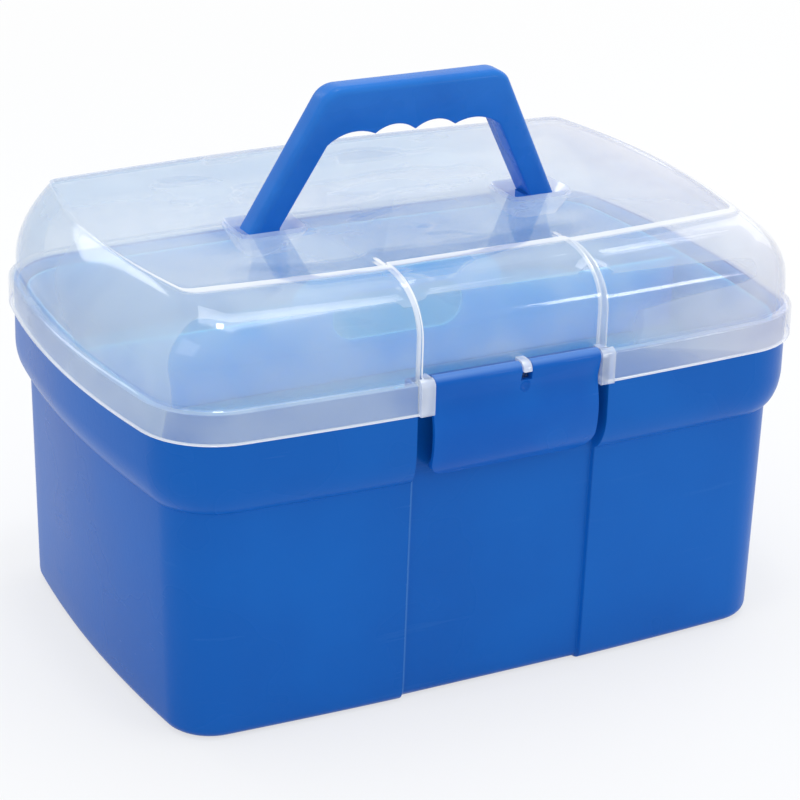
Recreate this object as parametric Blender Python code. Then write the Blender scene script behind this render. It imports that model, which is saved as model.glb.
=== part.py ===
"""Grooming case: a blue plastic tub with a rounded collar, a clear domed lid that hinges at the back,
a carrying handle snapped into the lid, a front latch that pivots on the lid, and a lift-out tray.

Units are metres. X runs along the length, -Y is the front, +Z is up, and the origin is the middle of
the base.
"""

import math
from dataclasses import astuple, dataclass, replace

import bmesh
import bpy
from mathutils import Matrix, Vector

# General fits
RUNNING_GAP = 0.0003
PIN_CLEARANCE = 0.00008
WELD = 0.000002

# Tub body
BASE_HALF_LENGTH = 0.155
BASE_HALF_DEPTH = 0.1013
BASE_CORNER = 0.023
BASE_FILLET = 0.0055
BODY_DRAFT = 0.0023
BODY_HEIGHT = 0.112
SHOULDER_CORNER = 0.028
BODY_BOW_END = 0.0043
BODY_BOW_FRONT = 0.0036
TUB_WALL = 0.0022
TUB_FLOOR = 0.0025

# Tub collar, which carries the tray inside and the lid outside
COLLAR_OUT = 0.0068
COLLAR_ROUNDING = 0.018
COLLAR_BOW_END = 0.0070
COLLAR_BOW_FRONT = 0.0037
LEDGE_RISE = 0.0042
LEDGE_HEIGHT = BODY_HEIGHT + LEDGE_RISE
COLLAR_HEIGHT = 0.049
RIM_HEIGHT = BODY_HEIGHT + COLLAR_HEIGHT
RIM_DRAFT = 0.0003

# Centre groove down the front of tub and lid
BODY_GROOVE_HALF = 0.0465
BODY_GROOVE_DEPTH = 0.0028
GROOVE_FLARE = 0.0010
COLLAR_GROOVE_HALF = 0.0488
LID_GROOVE_HALF = 0.0452
LID_GROOVE_DEPTH = 0.0040

# Lid
LID_WALL = 0.0018
LID_CLEARANCE = 0.0006
LIP_DROP = 0.0136
LIP_HEIGHT = RIM_HEIGHT - LIP_DROP
FLANGE_STEP = 0.0038
FLANGE_ROUNDING = 0.0032
FLANGE_CURVE = ((0.0, 0.0), (0.32, 0.13), (0.72, 0.42), (0.94, 0.75), (1.0, 1.0))
SIDE_RISE = 0.0052
FRONT_RISE = 0.0153
CREST_RISE = 0.0402
DOME_ROUNDNESS = 0.9
FRONT_FULLNESS = 0.9
BACK_FULLNESS = 1.3
END_FULLNESS = 2.0
CREST_HALF_LENGTH = 0.1417
CREST_HALF_DEPTH = 0.0827
CREST_CORNER = 0.0060
CREST_BOW_END = 0.0088
CREST_BOW_FRONT = 0.0073
CREST_SHIFT = 0.0120
PANEL_SINK = 0.0014
PANEL_BORDER = 0.0016

# Handle cups sunk in the lid
CUP_X = 0.0705
CUP_MOUTH_LENGTH = 0.0325
CUP_MOUTH_DEPTH = 0.0260
CUP_FLOOR_LENGTH = 0.0210
CUP_FLOOR_DEPTH = 0.0160
CUP_DEPTH = 0.0105
CUP_WALL = 0.0016
CUP_SLOT_LENGTH = 0.0086
CUP_SLOT_DEPTH = 0.0066

# Handle
HANDLE_FOOT_OUTER = 0.0790
HANDLE_FOOT_INNER = 0.0650
HANDLE_TOP_HALF = 0.0455
HANDLE_INNER_HALF = 0.0450
HANDLE_RISE = 0.0645
HANDLE_GRIP_DEPTH = 0.0275
HANDLE_CORNER = 0.011
HANDLE_DEPTH = 0.0155
HANDLE_ROUNDING = 0.0042
HANDLE_LEAN = 0.0090
SCALLOP_PITCH = 0.0208
SCALLOP_COUNT = 4
SCALLOP_CUSP_LIFT = 0.0032
SCALLOP_RISE = 0.0036
FOOT_PLATE_PROUD = 0.0011
FOOT_PLATE_THICKNESS = 0.0017
TENON_LENGTH = 0.0120
TENON_DEPTH = 0.0100
TENON_HEAD_GRIP = 0.0012
TENON_HEAD_HEIGHT = 0.0022

# Latch
LATCH_SIDE_GAP = 0.0005
LATCH_BEAD = 0.0038
LATCH_AXIS_DROP = 0.0004
LATCH_AXIS_HEIGHT = RIM_HEIGHT - LATCH_AXIS_DROP
LATCH_BEAD_GAP = 0.0004
LATCH_WALL = 0.0022
LATCH_BOTTOM_LIFT = 0.0035
LATCH_BOTTOM = BODY_HEIGHT + LATCH_BOTTOM_LIFT
LATCH_CORNER = 0.009
LATCH_PIN = 0.0017
LATCH_PIN_REACH = 0.0025
LUG_THICKNESS = 0.0028
LUG_PROUD = 0.0009
LUG_LIFT = 0.0036
LUG_TOP = LATCH_AXIS_HEIGHT + LUG_LIFT
LUG_CORNER = 0.0035
FINGER_X = 0.0040
FINGER_WIDTH = 0.0044
FINGER_GAP = 0.0010
FINGER_THICKNESS = 0.0019
LATCH_NECK = 0.0018
NOTCH_REACH = 0.0052

# Catch rib on the tub that the latch closes under
CATCH_HALF = 0.034
CATCH_LIFT = 0.0085
CATCH_BOTTOM = BODY_HEIGHT + CATCH_LIFT
CATCH_HEIGHT = 0.0030
CATCH_REACH = 0.0032

# Back hinges: a rod between two ears on the tub, and a clip on the lid
HINGE_X = 0.078
HINGE_BEHIND_LIP = 0.0062
HINGE_DROP = 0.0205
HINGE_HEIGHT = RIM_HEIGHT - HINGE_DROP
HINGE_ROD = 0.0026
HINGE_KNUCKLE = 0.0050
HINGE_CLIP_LENGTH = 0.020
HINGE_EAR_THICKNESS = 0.0035
HINGE_SIDE_GAP = 0.0008
HINGE_MOUTH = 0.0040
HINGE_ARM_RISE = 0.0170
HINGE_ARM_TOP = HINGE_HEIGHT + HINGE_ARM_RISE

# Tray
TRAY_OUT = 0.0005
TRAY_WALL = 0.0018
TRAY_DROP = 0.0045
TRAY_TOP = RIM_HEIGHT - TRAY_DROP
TRAY_FILLET = 0.0010
TRAY_CLEARANCE = 0.0010
TRAY_DIVIDER = 0.0020
TRAY_GRIP_HALF = 0.041
TRAY_GRIP_RISE = 0.0155
TRAY_GRIP_TOP = TRAY_TOP + TRAY_GRIP_RISE
TRAY_SLOT_HALF = 0.035
TRAY_SLOT_RADIUS = 0.0115
TRAY_SLOT_DROP = 0.0065
TRAY_SLOT_HEIGHT = TRAY_TOP - TRAY_SLOT_DROP

# Mesh fineness
CORNER_STEPS = 8
FRONT_STEPS = 3
END_STEPS = 4
ROUND_STEPS = 24


@dataclass(frozen=True)
class Section:
    """Plan outline of the case at one level.

    A rounded rectangle whose four sides bow outwards, with a flat-bottomed groove down the front.
    """

    half_length: float
    half_depth: float
    corner: float
    bow_end: float
    bow_front: float
    centre_y: float
    groove_half: float
    groove_y: float

    def inset(self, amount, groove_wall=0.0, groove_inset=0.0):
        """Move the sides inwards; the groove's own sides and floor move by their own amounts."""
        return replace(
            self,
            half_length=self.half_length - amount,
            half_depth=self.half_depth - amount,
            corner=self.corner - amount,
            groove_half=self.groove_half + groove_wall,
            groove_y=self.groove_y + groove_inset,
        )

    def blended(self, other, share):
        """Go part of the way, from 0 to 1, to another outline."""
        pairs = zip(astuple(self), astuple(other))
        return Section(*[mine + (theirs - mine) * share for mine, theirs in pairs])

    def front_y(self, x=0.0):
        """Y of the front side, without the groove, at x."""
        slope = math.atan(2 * self.bow_front / (self.half_length - self.corner))
        end_x = self.half_length - self.corner + self.corner * math.sin(slope)
        end_y = self.half_depth - self.corner + self.corner * math.cos(slope)
        return self.centre_y - end_y - self.bow_front * (1 - (x / end_x) ** 2)

    def back_y(self, x=0.0):
        """Y of the back side at x."""
        return 2 * self.centre_y - self.front_y(x)


def grooved(half_length, half_depth, corner, bow_end, bow_front, groove_half, groove_depth, shift=0.0):
    """Make a section whose groove is sunk by a depth from the middle of the front."""
    plain = Section(half_length, half_depth, corner, bow_end, bow_front, shift, groove_half, 0.0)
    return replace(plain, groove_y=plain.front_y() + groove_depth)


BASE = grooved(
    BASE_HALF_LENGTH,
    BASE_HALF_DEPTH,
    BASE_CORNER,
    BODY_BOW_END,
    BODY_BOW_FRONT,
    BODY_GROOVE_HALF,
    BODY_GROOVE_DEPTH,
)
SHOULDER = grooved(
    BASE_HALF_LENGTH + BODY_DRAFT,
    BASE_HALF_DEPTH + BODY_DRAFT,
    SHOULDER_CORNER,
    BODY_BOW_END,
    BODY_BOW_FRONT,
    BODY_GROOVE_HALF,
    BODY_GROOVE_DEPTH,
)
COLLAR = replace(
    SHOULDER.inset(-COLLAR_OUT),
    bow_end=COLLAR_BOW_END,
    bow_front=COLLAR_BOW_FRONT,
    groove_half=COLLAR_GROOVE_HALF,
)
PLAIN_LIP = COLLAR.inset(-LID_CLEARANCE - LID_WALL)
PLAIN_SIDE = PLAIN_LIP.inset(FLANGE_STEP)
STRAP_Y = PLAIN_SIDE.front_y() + LID_GROOVE_DEPTH
LIP = replace(PLAIN_LIP, groove_half=LID_GROOVE_HALF, groove_y=STRAP_Y)
LID_SIDE = replace(PLAIN_SIDE, groove_half=LID_GROOVE_HALF, groove_y=STRAP_Y)
CREST = grooved(
    CREST_HALF_LENGTH,
    CREST_HALF_DEPTH,
    CREST_CORNER,
    CREST_BOW_END,
    CREST_BOW_FRONT,
    LID_GROOVE_HALF,
    LID_GROOVE_DEPTH,
    CREST_SHIFT,
)

# Levels up the lid
FLANGE_TOP = RIM_HEIGHT + FLANGE_ROUNDING
SIDE_SPRING = FLANGE_TOP + SIDE_RISE
FRONT_SPRING = FLANGE_TOP + FRONT_RISE
CREST_HEIGHT = FLANGE_TOP + CREST_RISE
PANEL_HEIGHT = CREST_HEIGHT - PANEL_SINK

# Levels up the handle
HANDLE_TOP = PANEL_HEIGHT + HANDLE_RISE
HANDLE_INNER_HEIGHT = HANDLE_TOP - HANDLE_GRIP_DEPTH
SCALLOP_CUSP_HEIGHT = HANDLE_INNER_HEIGHT + SCALLOP_CUSP_LIFT

# Joint axes, held to a tenth of a millimetre
LATCH_AXIS = Vector((0.0, round(STRAP_Y - LATCH_BEAD_GAP - LATCH_BEAD, 4), LATCH_AXIS_HEIGHT))
HINGE_AXIS = Vector((0.0, round(LIP.back_y() + HINGE_BEHIND_LIP, 4), HINGE_HEIGHT))
LATCH_HALF = LID_GROOVE_HALF - LUG_THICKNESS - LATCH_SIDE_GAP
CATCH_Y = SHOULDER.groove_y - CATCH_REACH


def clear_scene():
    """Remove what the file holds."""
    for old in list(bpy.data.objects):
        bpy.data.objects.remove(old, do_unlink=True)


def new_collection(name):
    """Make a collection in the scene."""
    collection = bpy.data.collections.new(name)
    bpy.context.scene.collection.children.link(collection)
    return collection


def new_material(name, colour, roughness, alpha=1.0):
    """Make a plain moulded plastic."""
    material = bpy.data.materials.new(name)
    material.use_nodes = True
    shader = material.node_tree.nodes["Principled BSDF"]
    shader.inputs["Base Color"].default_value = (*colour, 1.0)
    shader.inputs["Roughness"].default_value = roughness
    shader.inputs["Metallic"].default_value = 0.0
    shader.inputs["Alpha"].default_value = alpha
    material.diffuse_color = (*colour, alpha)
    return material


def outline(section):
    """Points round a section, anticlockwise from its front left, with the groove in the front side."""
    straight = section.half_length - section.corner
    depth = section.half_depth - section.corner
    front_slope = math.atan(2 * section.bow_front / straight)
    end_slope = math.atan(2 * section.bow_end / depth)
    front_end = straight + section.corner * math.sin(front_slope)
    side_end = depth + section.corner * math.sin(end_slope)
    side_x = straight + section.corner * math.cos(end_slope)

    outer = section.groove_half + GROOVE_FLARE
    rights = [outer + (front_end - outer) * step / FRONT_STEPS for step in range(FRONT_STEPS + 1)]
    floor = (-section.groove_half, 0.0, section.groove_half)
    front = [(-x, section.front_y(x)) for x in reversed(rights)]
    front += [(x, section.groove_y) for x in floor]
    front += [(x, section.front_y(x)) for x in rights]
    back = [(-x, section.back_y(x)) for x, _ in front]

    ends = [side_end * (2 * step / END_STEPS - 1) for step in range(END_STEPS + 1)]
    right = [
        (side_x + section.bow_end * (1 - (y / side_end) ** 2), section.centre_y + y) for y in ends
    ]
    left = [(-x, 2 * section.centre_y - y) for x, y in right]

    def corner(sign_x, sign_y, first, last):
        turns = [first + (last - first) * step / CORNER_STEPS for step in range(1, CORNER_STEPS)]
        return [
            (
                sign_x * straight + section.corner * math.cos(turn),
                section.centre_y + sign_y * depth + section.corner * math.sin(turn),
            )
            for turn in turns
        ]

    quarter = math.pi / 2
    return (
        front
        + corner(1, -1, -quarter + front_slope, -end_slope)
        + right
        + corner(1, 1, end_slope, quarter - front_slope)
        + back
        + corner(-1, 1, quarter + front_slope, 2 * quarter - end_slope)
        + left
        + corner(-1, -1, 2 * quarter + end_slope, 3 * quarter - front_slope)
    )


def ring(section, height):
    """One level of a loft."""
    return [Vector((x, y, height)) for x, y in outline(section)]


def add_object(name, bm, collection, material=None):
    """Turn a bmesh into a named object."""
    mesh = bpy.data.meshes.new(name)
    bm.to_mesh(mesh)
    bm.free()
    made = bpy.data.objects.new(name, mesh)
    collection.objects.link(made)
    if material is not None:
        mesh.materials.append(material)
    return made


def loft(name, rings, collection, material=None):
    """Skin a shell through its rings, from the middle of one face round its edge to the other face."""
    bm = bmesh.new()
    levels = [[bm.verts.new(point) for point in level] for level in rings]
    for below, above in zip(levels, levels[1:]):
        count = len(below)
        for index in range(count):
            after = (index + 1) % count
            bm.faces.new((below[index], below[after], above[after], above[index]))
    bm.faces.new(list(reversed(levels[0])))
    bm.faces.new(levels[-1])
    bmesh.ops.remove_doubles(bm, verts=bm.verts, dist=WELD)
    bmesh.ops.recalc_face_normals(bm, faces=bm.faces)
    return add_object(name, bm, collection, material)


def make_cutter(made):
    """Mark a solid as one that only shapes others."""
    made.hide_render = True
    made.display_type = "WIRE"
    return made


def box(name, low, high, collection, material=None):
    """An axis-aligned block between two corners."""
    bm = bmesh.new()
    bmesh.ops.create_cube(bm, size=1.0)
    low, high = Vector(low), Vector(high)
    size = high - low
    bmesh.ops.scale(bm, vec=size, verts=bm.verts)
    bmesh.ops.translate(bm, vec=(low + high) / 2, verts=bm.verts)
    return add_object(name, bm, collection, material)


def rod(name, centre, radius, length, collection, steps=ROUND_STEPS):
    """A cylinder along X."""
    bm = bmesh.new()
    turn = Matrix.Translation(centre) @ Matrix.Rotation(math.pi / 2, 4, "Y")
    bmesh.ops.create_cone(
        bm,
        cap_ends=True,
        segments=steps,
        radius1=radius,
        radius2=radius,
        depth=length,
        matrix=turn,
    )
    return add_object(name, bm, collection)


def tapered_block(name, centre_x, top, bottom, collection, material=None):
    """A four-sided block; top and bottom are (length, depth, height)."""
    bm = bmesh.new()
    bmesh.ops.create_cube(bm, size=1.0)
    for vert in bm.verts:
        length, depth, height = top if vert.co.z > 0 else bottom
        vert.co = Vector((centre_x + vert.co.x * length, vert.co.y * depth, height))
    return add_object(name, bm, collection, material)


def extruded(name, profile, axis, start, end, collection, material=None):
    """A flat outline pulled along X or Y. The profile is (y, z) for X and (x, z) for Y."""
    bm = bmesh.new()
    if axis == "X":
        verts = [bm.verts.new((start, y, z)) for y, z in profile]
        pull = Vector((end - start, 0.0, 0.0))
    else:
        verts = [bm.verts.new((x, start, z)) for x, z in profile]
        pull = Vector((0.0, end - start, 0.0))
    face = bm.faces.new(verts)
    pulled = bmesh.ops.extrude_face_region(bm, geom=[face])
    moved = [item for item in pulled["geom"] if isinstance(item, bmesh.types.BMVert)]
    bmesh.ops.translate(bm, vec=pull, verts=moved)
    bmesh.ops.recalc_face_normals(bm, faces=bm.faces)
    return add_object(name, bm, collection, material)


def combine(target, tool, operation):
    """Join a solid to the target, or cut it away, with a live Boolean."""
    modifier = target.modifiers.new(f"{operation.lower()}_{tool.name}", "BOOLEAN")
    modifier.operation = operation
    modifier.solver = "EXACT"
    modifier.object = tool
    make_cutter(tool)


def hang_on(made, pivot, parent=None):
    """Move an object's origin to its pivot without moving its shape."""
    made.data.transform(Matrix.Translation(-pivot))
    made.location = pivot
    if parent is not None:
        made.parent = parent
        made.matrix_parent_inverse = Matrix.Translation(-parent.location)


def arc(centre, radius, first, last, steps):
    """Points on a circle, from one angle to another, both ends included."""
    turns = [first + (last - first) * step / steps for step in range(steps + 1)]
    return [(centre[0] + radius * math.cos(t), centre[1] + radius * math.sin(t)) for t in turns]


def bulge(first, last, rise, steps):
    """Points on the circle through two ends that stands off their chord by rise, to its left."""
    first, last = Vector(first), Vector(last)
    chord = last - first
    left = Vector((-chord.y, chord.x)).normalized()
    shares = [step / steps for step in range(1, steps)]
    radius = (chord.length**2 / 4 + rise**2) / (2 * rise)
    points = []
    for share in shares:
        along = (share - 0.5) * chord.length
        off = math.sqrt(radius**2 - along**2) - (radius - rise)
        points.append(tuple(first + chord * share + left * off))
    return points


def body_section(height):
    """The drafted body's outline at a height below the collar."""
    return BASE.blended(SHOULDER, height / BODY_HEIGHT)


def collar_levels():
    """Share from body to collar, height, and slope of the outer face, up the collar's rounding."""
    levels = []
    steps = 5
    for step in range(steps + 1):
        turn = math.radians(18 + 72 * step / steps)
        share = (math.sin(turn) - math.sin(math.radians(18))) / (1 - math.sin(math.radians(18)))
        height = BODY_HEIGHT + COLLAR_ROUNDING * (1 - math.cos(turn) / math.cos(math.radians(18)))
        levels.append((share, height, math.pi / 2 - turn))
    return levels


def collar_section(share):
    """The outline part of the way from the body to the collar."""
    return SHOULDER.blended(COLLAR, share)


def collar_inside():
    """Inner levels of the collar's rounding, from its top down to the tray ledge."""
    levels = []
    for share, height, tilt in collar_levels():
        section = collar_section(share)
        inset = TUB_WALL * math.cos(tilt)
        levels.append((section.inset(inset, TUB_WALL, TUB_WALL), height + TUB_WALL * math.sin(tilt)))
    kept = [level for level in levels if level[1] > LEDGE_HEIGHT]
    below = [level for level in levels if level[1] <= LEDGE_HEIGHT][-1]
    share = (LEDGE_HEIGHT - below[1]) / (kept[0][1] - below[1])
    edge = below[0].blended(kept[0][0], share)
    return list(reversed(kept)) + [(edge, LEDGE_HEIGHT)]


def build_tub(parts, cutters, material):
    """The tub: base fillet, drafted body, rounded collar, rim, tray ledge, catch rib and hinge ears."""
    rings = []
    for turn in (0, 30, 60, 90):
        angle = math.radians(turn)
        inset = BASE_FILLET * (1 - math.sin(angle))
        height = BASE_FILLET * (1 - math.cos(angle))
        rings.append(ring(body_section(height).inset(inset, 0.0, inset), height))
    for share, height, _ in collar_levels():
        rings.append(ring(collar_section(share), height))
    rings.append(ring(COLLAR.inset(RIM_DRAFT), RIM_HEIGHT))
    rings.append(ring(COLLAR.inset(TUB_WALL, TUB_WALL, TUB_WALL), RIM_HEIGHT))
    inside = collar_inside()
    rings += [ring(section, height) for section, height in inside]
    ledge_groove = inside[-1][0].groove_half
    ledge = replace(SHOULDER.inset(TUB_WALL, TUB_WALL, TUB_WALL), groove_half=ledge_groove)
    rings.append(ring(ledge, LEDGE_HEIGHT))
    inner_fillet = BASE_FILLET - TUB_WALL
    rings.append(ring(ledge.inset(0.0, BODY_GROOVE_HALF + TUB_WALL - ledge_groove), BODY_HEIGHT))
    for turn in (90, 60, 30, 0):
        angle = math.radians(turn)
        inset = TUB_WALL + inner_fillet * (1 - math.sin(angle))
        height = TUB_FLOOR + inner_fillet * (1 - math.cos(angle))
        rings.append(ring(body_section(height).inset(inset, TUB_WALL, inset), height))
    tub = loft("tub", rings, parts, material)

    embedded = SHOULDER.groove_y + TUB_WALL / 2
    catch = box(
        "catch_rib",
        (-CATCH_HALF, CATCH_Y, CATCH_BOTTOM),
        (CATCH_HALF, embedded, CATCH_BOTTOM + CATCH_HEIGHT),
        cutters,
    )
    combine(tub, catch, "UNION")
    for side in (-1, 1):
        add_hinge_ears(tub, side, cutters)
    return tub


def add_hinge_ears(tub, side, cutters):
    """Two ears on the collar's back and the rod between them, joined to the tub."""
    name = "left" if side < 0 else "right"
    clip_half = HINGE_CLIP_LENGTH / 2
    centre_x = side * HINGE_X
    wall_y = COLLAR.back_y(HINGE_X + clip_half) - TUB_WALL / 2
    profile = [(wall_y, HINGE_HEIGHT - 3 * HINGE_KNUCKLE)]
    profile += arc((HINGE_AXIS.y, HINGE_AXIS.z), HINGE_KNUCKLE, math.radians(-60), math.radians(90), 8)
    profile += [(wall_y, HINGE_HEIGHT + HINGE_KNUCKLE)]
    for end in (-1, 1):
        inner = centre_x + end * (clip_half + HINGE_SIDE_GAP)
        outer = inner + end * HINGE_EAR_THICKNESS
        ear = extruded(
            f"hinge_ear_{name}_{'a' if end < 0 else 'b'}",
            profile,
            "X",
            min(inner, outer),
            max(inner, outer),
            cutters,
        )
        combine(tub, ear, "UNION")
    length = HINGE_CLIP_LENGTH + 2 * HINGE_SIDE_GAP + HINGE_EAR_THICKNESS
    pin = rod(f"hinge_rod_{name}", Vector((centre_x, HINGE_AXIS.y, HINGE_AXIS.z)), HINGE_ROD, length, cutters)
    combine(tub, pin, "UNION")


def mixed(first, last, share):
    """A value part of the way, from 0 to 1, to another."""
    return first + (last - first) * share


def dome_share(height, spring, fullness):
    """How far one side of the dome has curved in at a height, from 0 at its wall to 1 at the crest."""
    climb = (height - spring) / (CREST_HEIGHT - spring)
    climb = min(max(climb, 0.0), 1.0) ** (1 / DOME_ROUNDNESS)
    return 1 - math.sqrt(1 - climb**2) ** fullness


def dome_section(height):
    """The lid's outline at a height; its front, its back and its ends each curve in on their own arc."""
    front = dome_share(height, FRONT_SPRING, FRONT_FULLNESS)
    back = dome_share(height, SIDE_SPRING, BACK_FULLNESS)
    end = dome_share(height, SIDE_SPRING, END_FULLNESS)
    near = mixed(LID_SIDE.half_depth, CREST.half_depth - CREST.centre_y, front)
    far = mixed(LID_SIDE.half_depth, CREST.half_depth + CREST.centre_y, back)
    section = replace(
        LID_SIDE.blended(CREST, end),
        half_depth=(near + far) / 2,
        centre_y=(far - near) / 2,
        corner=mixed(LID_SIDE.corner, CREST.corner, (front + end) / 2),
        bow_front=mixed(LID_SIDE.bow_front, CREST.bow_front, front),
    )
    return replace(section, groove_y=section.front_y() + LID_GROOVE_DEPTH)


def dome_levels():
    """Height and slope of the outer face, from the foot of the dome to its crest."""
    steps = 8
    turns = [math.radians(90 * step / steps) for step in range(steps + 1)]
    rise = CREST_HEIGHT - SIDE_SPRING
    return [(SIDE_SPRING + rise * math.sin(turn) ** DOME_ROUNDNESS, turn) for turn in turns]


def build_lid(parts, cutters, material):
    """The lid: sunken panel, domed shoulder, side wall, flange over the rim, cups, lugs and clips."""
    border = CREST.inset(PANEL_BORDER, 0.0, PANEL_BORDER)
    rings = [ring(border, PANEL_HEIGHT)]
    for height, _ in reversed(dome_levels()):
        rings.append(ring(dome_section(height), height))
    for share, drop in FLANGE_CURVE:
        rings.append(ring(LID_SIDE.blended(LIP, share), RIM_HEIGHT + FLANGE_ROUNDING * (1 - drop)))
    rings.append(ring(LIP, LIP_HEIGHT))
    inner_lip = LIP.inset(LID_WALL, LID_WALL, LID_WALL)
    rings.append(ring(inner_lip, LIP_HEIGHT))
    seat = RIM_HEIGHT + RUNNING_GAP
    rings.append(ring(inner_lip, seat))
    rings.append(ring(LID_SIDE.inset(LID_WALL, LID_WALL, LID_WALL), seat))
    for height, turn in dome_levels():
        inset = LID_WALL * math.cos(turn)
        section = dome_section(height).inset(inset, LID_WALL, inset)
        rings.append(ring(section, height - LID_WALL * math.sin(turn)))
    rings.append(ring(border.inset(LID_WALL, LID_WALL, LID_WALL), PANEL_HEIGHT - LID_WALL))
    lid = loft("lid", rings, parts, material)

    for side in (-1, 1):
        add_cup(lid, side, cutters)
        add_lug(lid, side, cutters)
        add_hinge_clip(lid, side, cutters)
    add_finger(lid, cutters)
    return lid


def add_cup(lid, side, cutters):
    """A funnel cup for one handle foot, with a slot in its floor for the snap head."""
    name = "left" if side < 0 else "right"
    centre_x = side * CUP_X
    floor = PANEL_HEIGHT - CUP_DEPTH
    rim = PANEL_HEIGHT - LID_WALL / 2
    outer = tapered_block(
        f"cup_outer_{name}",
        centre_x,
        (CUP_MOUTH_LENGTH + 2 * CUP_WALL, CUP_MOUTH_DEPTH + 2 * CUP_WALL, rim),
        (CUP_FLOOR_LENGTH + 2 * CUP_WALL, CUP_FLOOR_DEPTH + 2 * CUP_WALL, floor - CUP_WALL),
        cutters,
    )
    combine(lid, outer, "UNION")
    inner = tapered_block(
        f"cup_inner_{name}",
        centre_x,
        (CUP_MOUTH_LENGTH, CUP_MOUTH_DEPTH, PANEL_HEIGHT + LID_WALL),
        (CUP_FLOOR_LENGTH, CUP_FLOOR_DEPTH, floor),
        cutters,
    )
    combine(lid, inner, "DIFFERENCE")
    slot = box(
        f"cup_slot_{name}",
        (centre_x - CUP_SLOT_LENGTH / 2, -CUP_SLOT_DEPTH / 2, floor - 3 * CUP_WALL),
        (centre_x + CUP_SLOT_LENGTH / 2, CUP_SLOT_DEPTH / 2, floor + CUP_WALL),
        cutters,
    )
    combine(lid, slot, "DIFFERENCE")


def add_lug(lid, side, cutters):
    """The block in the strap groove, beside the latch, that carries its pin."""
    name = "left" if side < 0 else "right"
    front = LIP.front_y() - LUG_PROUD
    back = STRAP_Y + LID_WALL / 2
    centre = (front + LUG_CORNER, LUG_TOP - LUG_CORNER)
    profile = [(back, LIP_HEIGHT), (back, LUG_TOP)]
    profile += arc(centre, LUG_CORNER, math.radians(90), math.radians(180), 5)
    profile += [(front, LIP_HEIGHT)]
    inner = side * (LID_GROOVE_HALF - LUG_THICKNESS)
    outer = side * (LID_GROOVE_HALF + LID_WALL / 2)
    lug = extruded(f"lug_{name}", profile, "X", min(inner, outer), max(inner, outer), cutters)
    combine(lid, lug, "UNION")
    hole_centre = Vector((side * (LID_GROOVE_HALF - LUG_THICKNESS / 2), LATCH_AXIS.y, LATCH_AXIS.z))
    hole = rod(
        f"pin_hole_{name}",
        hole_centre,
        LATCH_PIN + PIN_CLEARANCE,
        2 * LUG_THICKNESS,
        cutters,
    )
    combine(lid, hole, "DIFFERENCE")


def add_finger(lid, cutters):
    """The short hooked finger on the lid that keeps the latch's neck in place."""
    inner = LATCH_NECK + FINGER_GAP
    outer = inner + FINGER_THICKNESS
    centre = (LATCH_AXIS.y, LATCH_AXIS.z)
    root = STRAP_Y + LID_WALL / 2
    profile = [(root, LATCH_AXIS.z + outer)]
    profile += arc(centre, outer, math.radians(90), math.radians(185), 8)
    profile += arc(centre, inner, math.radians(185), math.radians(90), 8)
    profile += [(root, LATCH_AXIS.z + inner)]
    finger = extruded(
        "finger",
        profile,
        "X",
        FINGER_X - FINGER_WIDTH / 2,
        FINGER_X + FINGER_WIDTH / 2,
        cutters,
    )
    combine(lid, finger, "UNION")


def add_hinge_clip(lid, side, cutters):
    """The clip at the lid's back that snaps over the tub's rod."""
    name = "left" if side < 0 else "right"
    clip_half = HINGE_CLIP_LENGTH / 2
    centre_x = side * HINGE_X
    wall_y = LIP.back_y(HINGE_X + clip_half) - LID_WALL / 2
    axis = (HINGE_AXIS.y, HINGE_AXIS.z)
    profile = [(wall_y, HINGE_ARM_TOP), (wall_y, LIP_HEIGHT + RUNNING_GAP)]
    profile += arc(axis, HINGE_KNUCKLE, math.radians(150), math.radians(400), 14)
    clip = extruded(
        f"hinge_clip_{name}",
        profile,
        "X",
        centre_x - clip_half,
        centre_x + clip_half,
        cutters,
    )
    combine(lid, clip, "UNION")
    bore = rod(
        f"clip_bore_{name}",
        Vector((centre_x, HINGE_AXIS.y, HINGE_AXIS.z)),
        HINGE_ROD + PIN_CLEARANCE,
        HINGE_CLIP_LENGTH + 2 * HINGE_SIDE_GAP,
        cutters,
    )
    combine(lid, bore, "DIFFERENCE")
    mouth = box(
        f"clip_mouth_{name}",
        (centre_x - clip_half - HINGE_SIDE_GAP, HINGE_AXIS.y - HINGE_MOUTH / 2, HINGE_AXIS.z - 2 * HINGE_KNUCKLE),
        (centre_x + clip_half + HINGE_SIDE_GAP, HINGE_AXIS.y + HINGE_MOUTH / 2, HINGE_AXIS.z),
        cutters,
    )
    combine(lid, mouth, "DIFFERENCE")


def handle_outline():
    """The handle's front view: splayed legs, a flat grip, and four finger scallops underneath."""
    foot = PANEL_HEIGHT + RUNNING_GAP
    lean_in = math.atan2(HANDLE_TOP - foot, HANDLE_FOOT_OUTER - HANDLE_TOP_HALF)
    tangent = HANDLE_CORNER * math.tan(lean_in / 2)
    corner_x = HANDLE_TOP_HALF - tangent
    corner = (corner_x, HANDLE_TOP - HANDLE_CORNER)
    outer = arc(corner, HANDLE_CORNER, math.pi / 2 - lean_in, math.pi / 2, 6)
    right = [(HANDLE_FOOT_INNER, foot), (HANDLE_FOOT_OUTER, foot)] + outer
    left = [(-x, z) for x, z in reversed(right)]

    half_count = SCALLOP_COUNT // 2
    cusps = [(SCALLOP_PITCH * index, SCALLOP_CUSP_HEIGHT) for index in range(1 - half_count, half_count)]
    stops = [(-HANDLE_INNER_HALF, HANDLE_INNER_HEIGHT)] + cusps + [(HANDLE_INNER_HALF, HANDLE_INNER_HEIGHT)]
    under = []
    for first, last in zip(stops, stops[1:]):
        under.append(first)
        under += bulge(first, last, SCALLOP_RISE, 6)
    under.append(stops[-1])
    return right + left + under


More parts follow.
